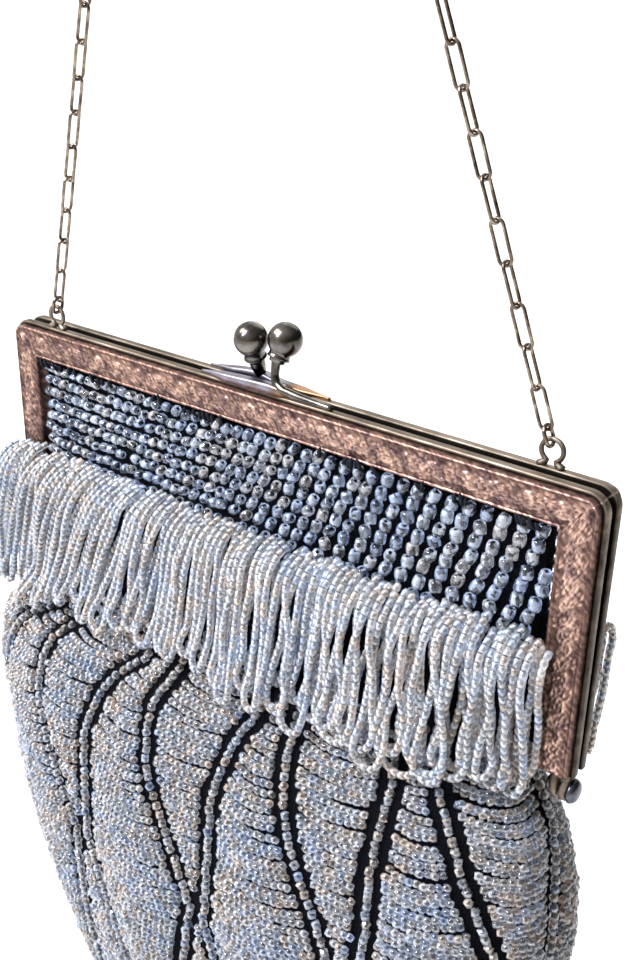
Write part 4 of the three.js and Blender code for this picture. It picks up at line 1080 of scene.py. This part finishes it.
# Share of the fringe from the left, and width of a loop's foot there
LOOP_WIDE = [(0, 2.4), (0.55, 3), (0.78, 6.5), (0.9, 4.6), (1, 2)]
FRINGE_BEAD = 0.74
FRINGE_PITCH = 1.46
FRINGE_LONG = 28
FRINGE_CUTS = [1.3, 1.2, 1.14, 1, 0.99, 0.95, 0.98, 1, 1.03, 0.99, 1, 0.96]  # length from left to right
FAN_LEFT = 13  # how far the left end's loops swing aside
FAN_TO, FAN_OVER = 0.55, 0.4  # share of the fringe where the swing ends, and over which it grows
FAN_BEND = 0.8  # power of a leg's drop that the swing follows
LOCKS = 12
LOCK_GATHER = 0.2  # how far a lock's loops draw together at their feet
LEG_STATIONS = np.array([  # share of a leg's drop, how far off the pouch it hangs there
    (0, 0.5), (0.03, 3.2), (0.12, 5), (0.3, 5.4), (0.55, 4.8), (0.8, 4), (1, 3.4)])
UNDER_LAYER = 0.6  # how far off the under layer hangs, as a share of the upper
UNDER_SHORTER = 2
LOOP_STRAY = {"root": 0.3, "rise": 0.5, "length": 0.045, "fan": 0.5, "sway": 0.35, "stand": 0.25}
LOOP_WIDTHS, LOOP_PLUMP = (0.75, 1.35), (0.85, 1.2)  # shares of the foot's width, and of the stand off
FRAME_FACE = 3.9  # front of the frame's relief, that the fringe lies over


def pouch_front(x, z):
    """How far the pouch stands forward at x and z, or the frame's arms where they stand further."""
    half_width, half_depth, square, lean, fold = np.moveaxis(pouch_profile(z), -1, 0)
    across = np.clip(np.abs(x - lean) / half_width, 0, 1)
    return np.maximum(half_depth * (1 - across ** square) ** (1 / square) + FOLD_HIGH * fold, FRAME_FACE)


def fringe_loops(right, layer, seed):
    """Paths of one layer of loops. Each has two legs that start side by side on the heading, swing aside
    towards the fringe's left end and into locks, part by a smooth step and meet in a half circle below."""
    rng = np.random.default_rng(seed)
    root = np.arange(FRINGE_LEFT + layer * LOOP_PITCH / 2, right, LOOP_PITCH)
    count = len(root)
    root = root + rng.normal(0, LOOP_STRAY["root"], count)
    rise = rng.normal(0, LOOP_STRAY["rise"], count)
    across = (root - FRINGE_LEFT) / (right - FRINGE_LEFT)
    cut = np.interp(across, np.linspace(0, 1, len(FRINGE_CUTS)), FRINGE_CUTS)
    long = FRINGE_LONG * (cut + rng.normal(0, LOOP_STRAY["length"], count)) - UNDER_SHORTER * layer
    near_left = np.clip((FAN_TO - across) / FAN_OVER, 0, 1)
    in_lock = (across * LOCKS % 1 - 0.5) * (right - FRINGE_LEFT) / LOCKS
    fan = -FAN_LEFT * near_left ** 2 * (3 - 2 * near_left) + rng.normal(0, LOOP_STRAY["fan"], count)
    wide_at, wide = np.array(LOOP_WIDE).T
    half = np.interp(across, wide_at, wide) / 2 * rng.uniform(*LOOP_WIDTHS, count)
    drop, off = LEG_STATIONS.T
    stand = off * (UNDER_LAYER if layer else 1)
    plump = rng.uniform(*LOOP_PLUMP, count)
    part = drop * drop * (3 - 2 * drop)
    swing = drop ** FAN_BEND
    legs = []
    for side in (-1, 1):
        sway = rng.normal(0, LOOP_STRAY["sway"], (count, len(drop))) * np.sin(np.pi * drop)
        x = (root[:, None] + side * (LEG_APART / 2 + (half[:, None] - LEG_APART / 2) * part)
             + fan[:, None] * swing - LOCK_GATHER * in_lock[:, None] * drop ** 2 + sway)
        z = FRINGE_TOP + rise[:, None] * (1 - drop) - (long - half)[:, None] * drop
        hang = stand * plump[:, None] + rng.normal(0, LOOP_STRAY["stand"], x.shape)
        y = -pouch_front(x, z) - np.maximum(hang, FRINGE_BEAD)
        legs.append(np.stack([x, y, z], axis=-1))
    middle = (legs[0][:, -1] + legs[1][:, -1]) / 2
    turn = np.radians([225, 270, 315])
    foot = middle[:, None] + half[:, None, None] * np.column_stack([np.cos(turn), 0 * turn, np.sin(turn)])
    return smooth_path(np.concatenate([legs[0], foot, legs[1][:, ::-1]], axis=1), 10)


def threaded(paths, pitch, seed):
    """Centres and directions of beads strung at an even pitch along each path, from a start of its own."""
    rng = np.random.default_rng(seed)
    centres, along = [], []
    for path in paths:
        run = run_along(path)
        place = np.arange(pitch * rng.uniform(0.2, 1.2), run[-1], pitch)
        centres.append(walked(path, run, place))
        along.append(walked(path, run, place + 0.1) - walked(path, run, place - 0.1))
    return np.concatenate(centres), unit(np.concatenate(along))


for name, seed, facing in (("fringe_front", 111, (1, 1, 1)), ("fringe_back", 61, (1, -1, 1))):
    fields = []
    for layer in (0, 1):
        paths = fringe_loops(FRINGE_RIGHT[name], layer, seed + layer)
        centre, along = threaded(paths, FRINGE_PITCH, seed + 3 + layer)
        fields.append(bead_field(centre * facing, along * facing, FRINGE_BEAD, FRINGE_PITCH,
                                 SOLID_BEAD if layer else TUBE_BEAD, 6, seed + 5 + layer, not layer))
    piece = bead_piece(name + "_loops", fields, [fringe_glass, grey_silk])
    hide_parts(name)
    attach(piece, "root")
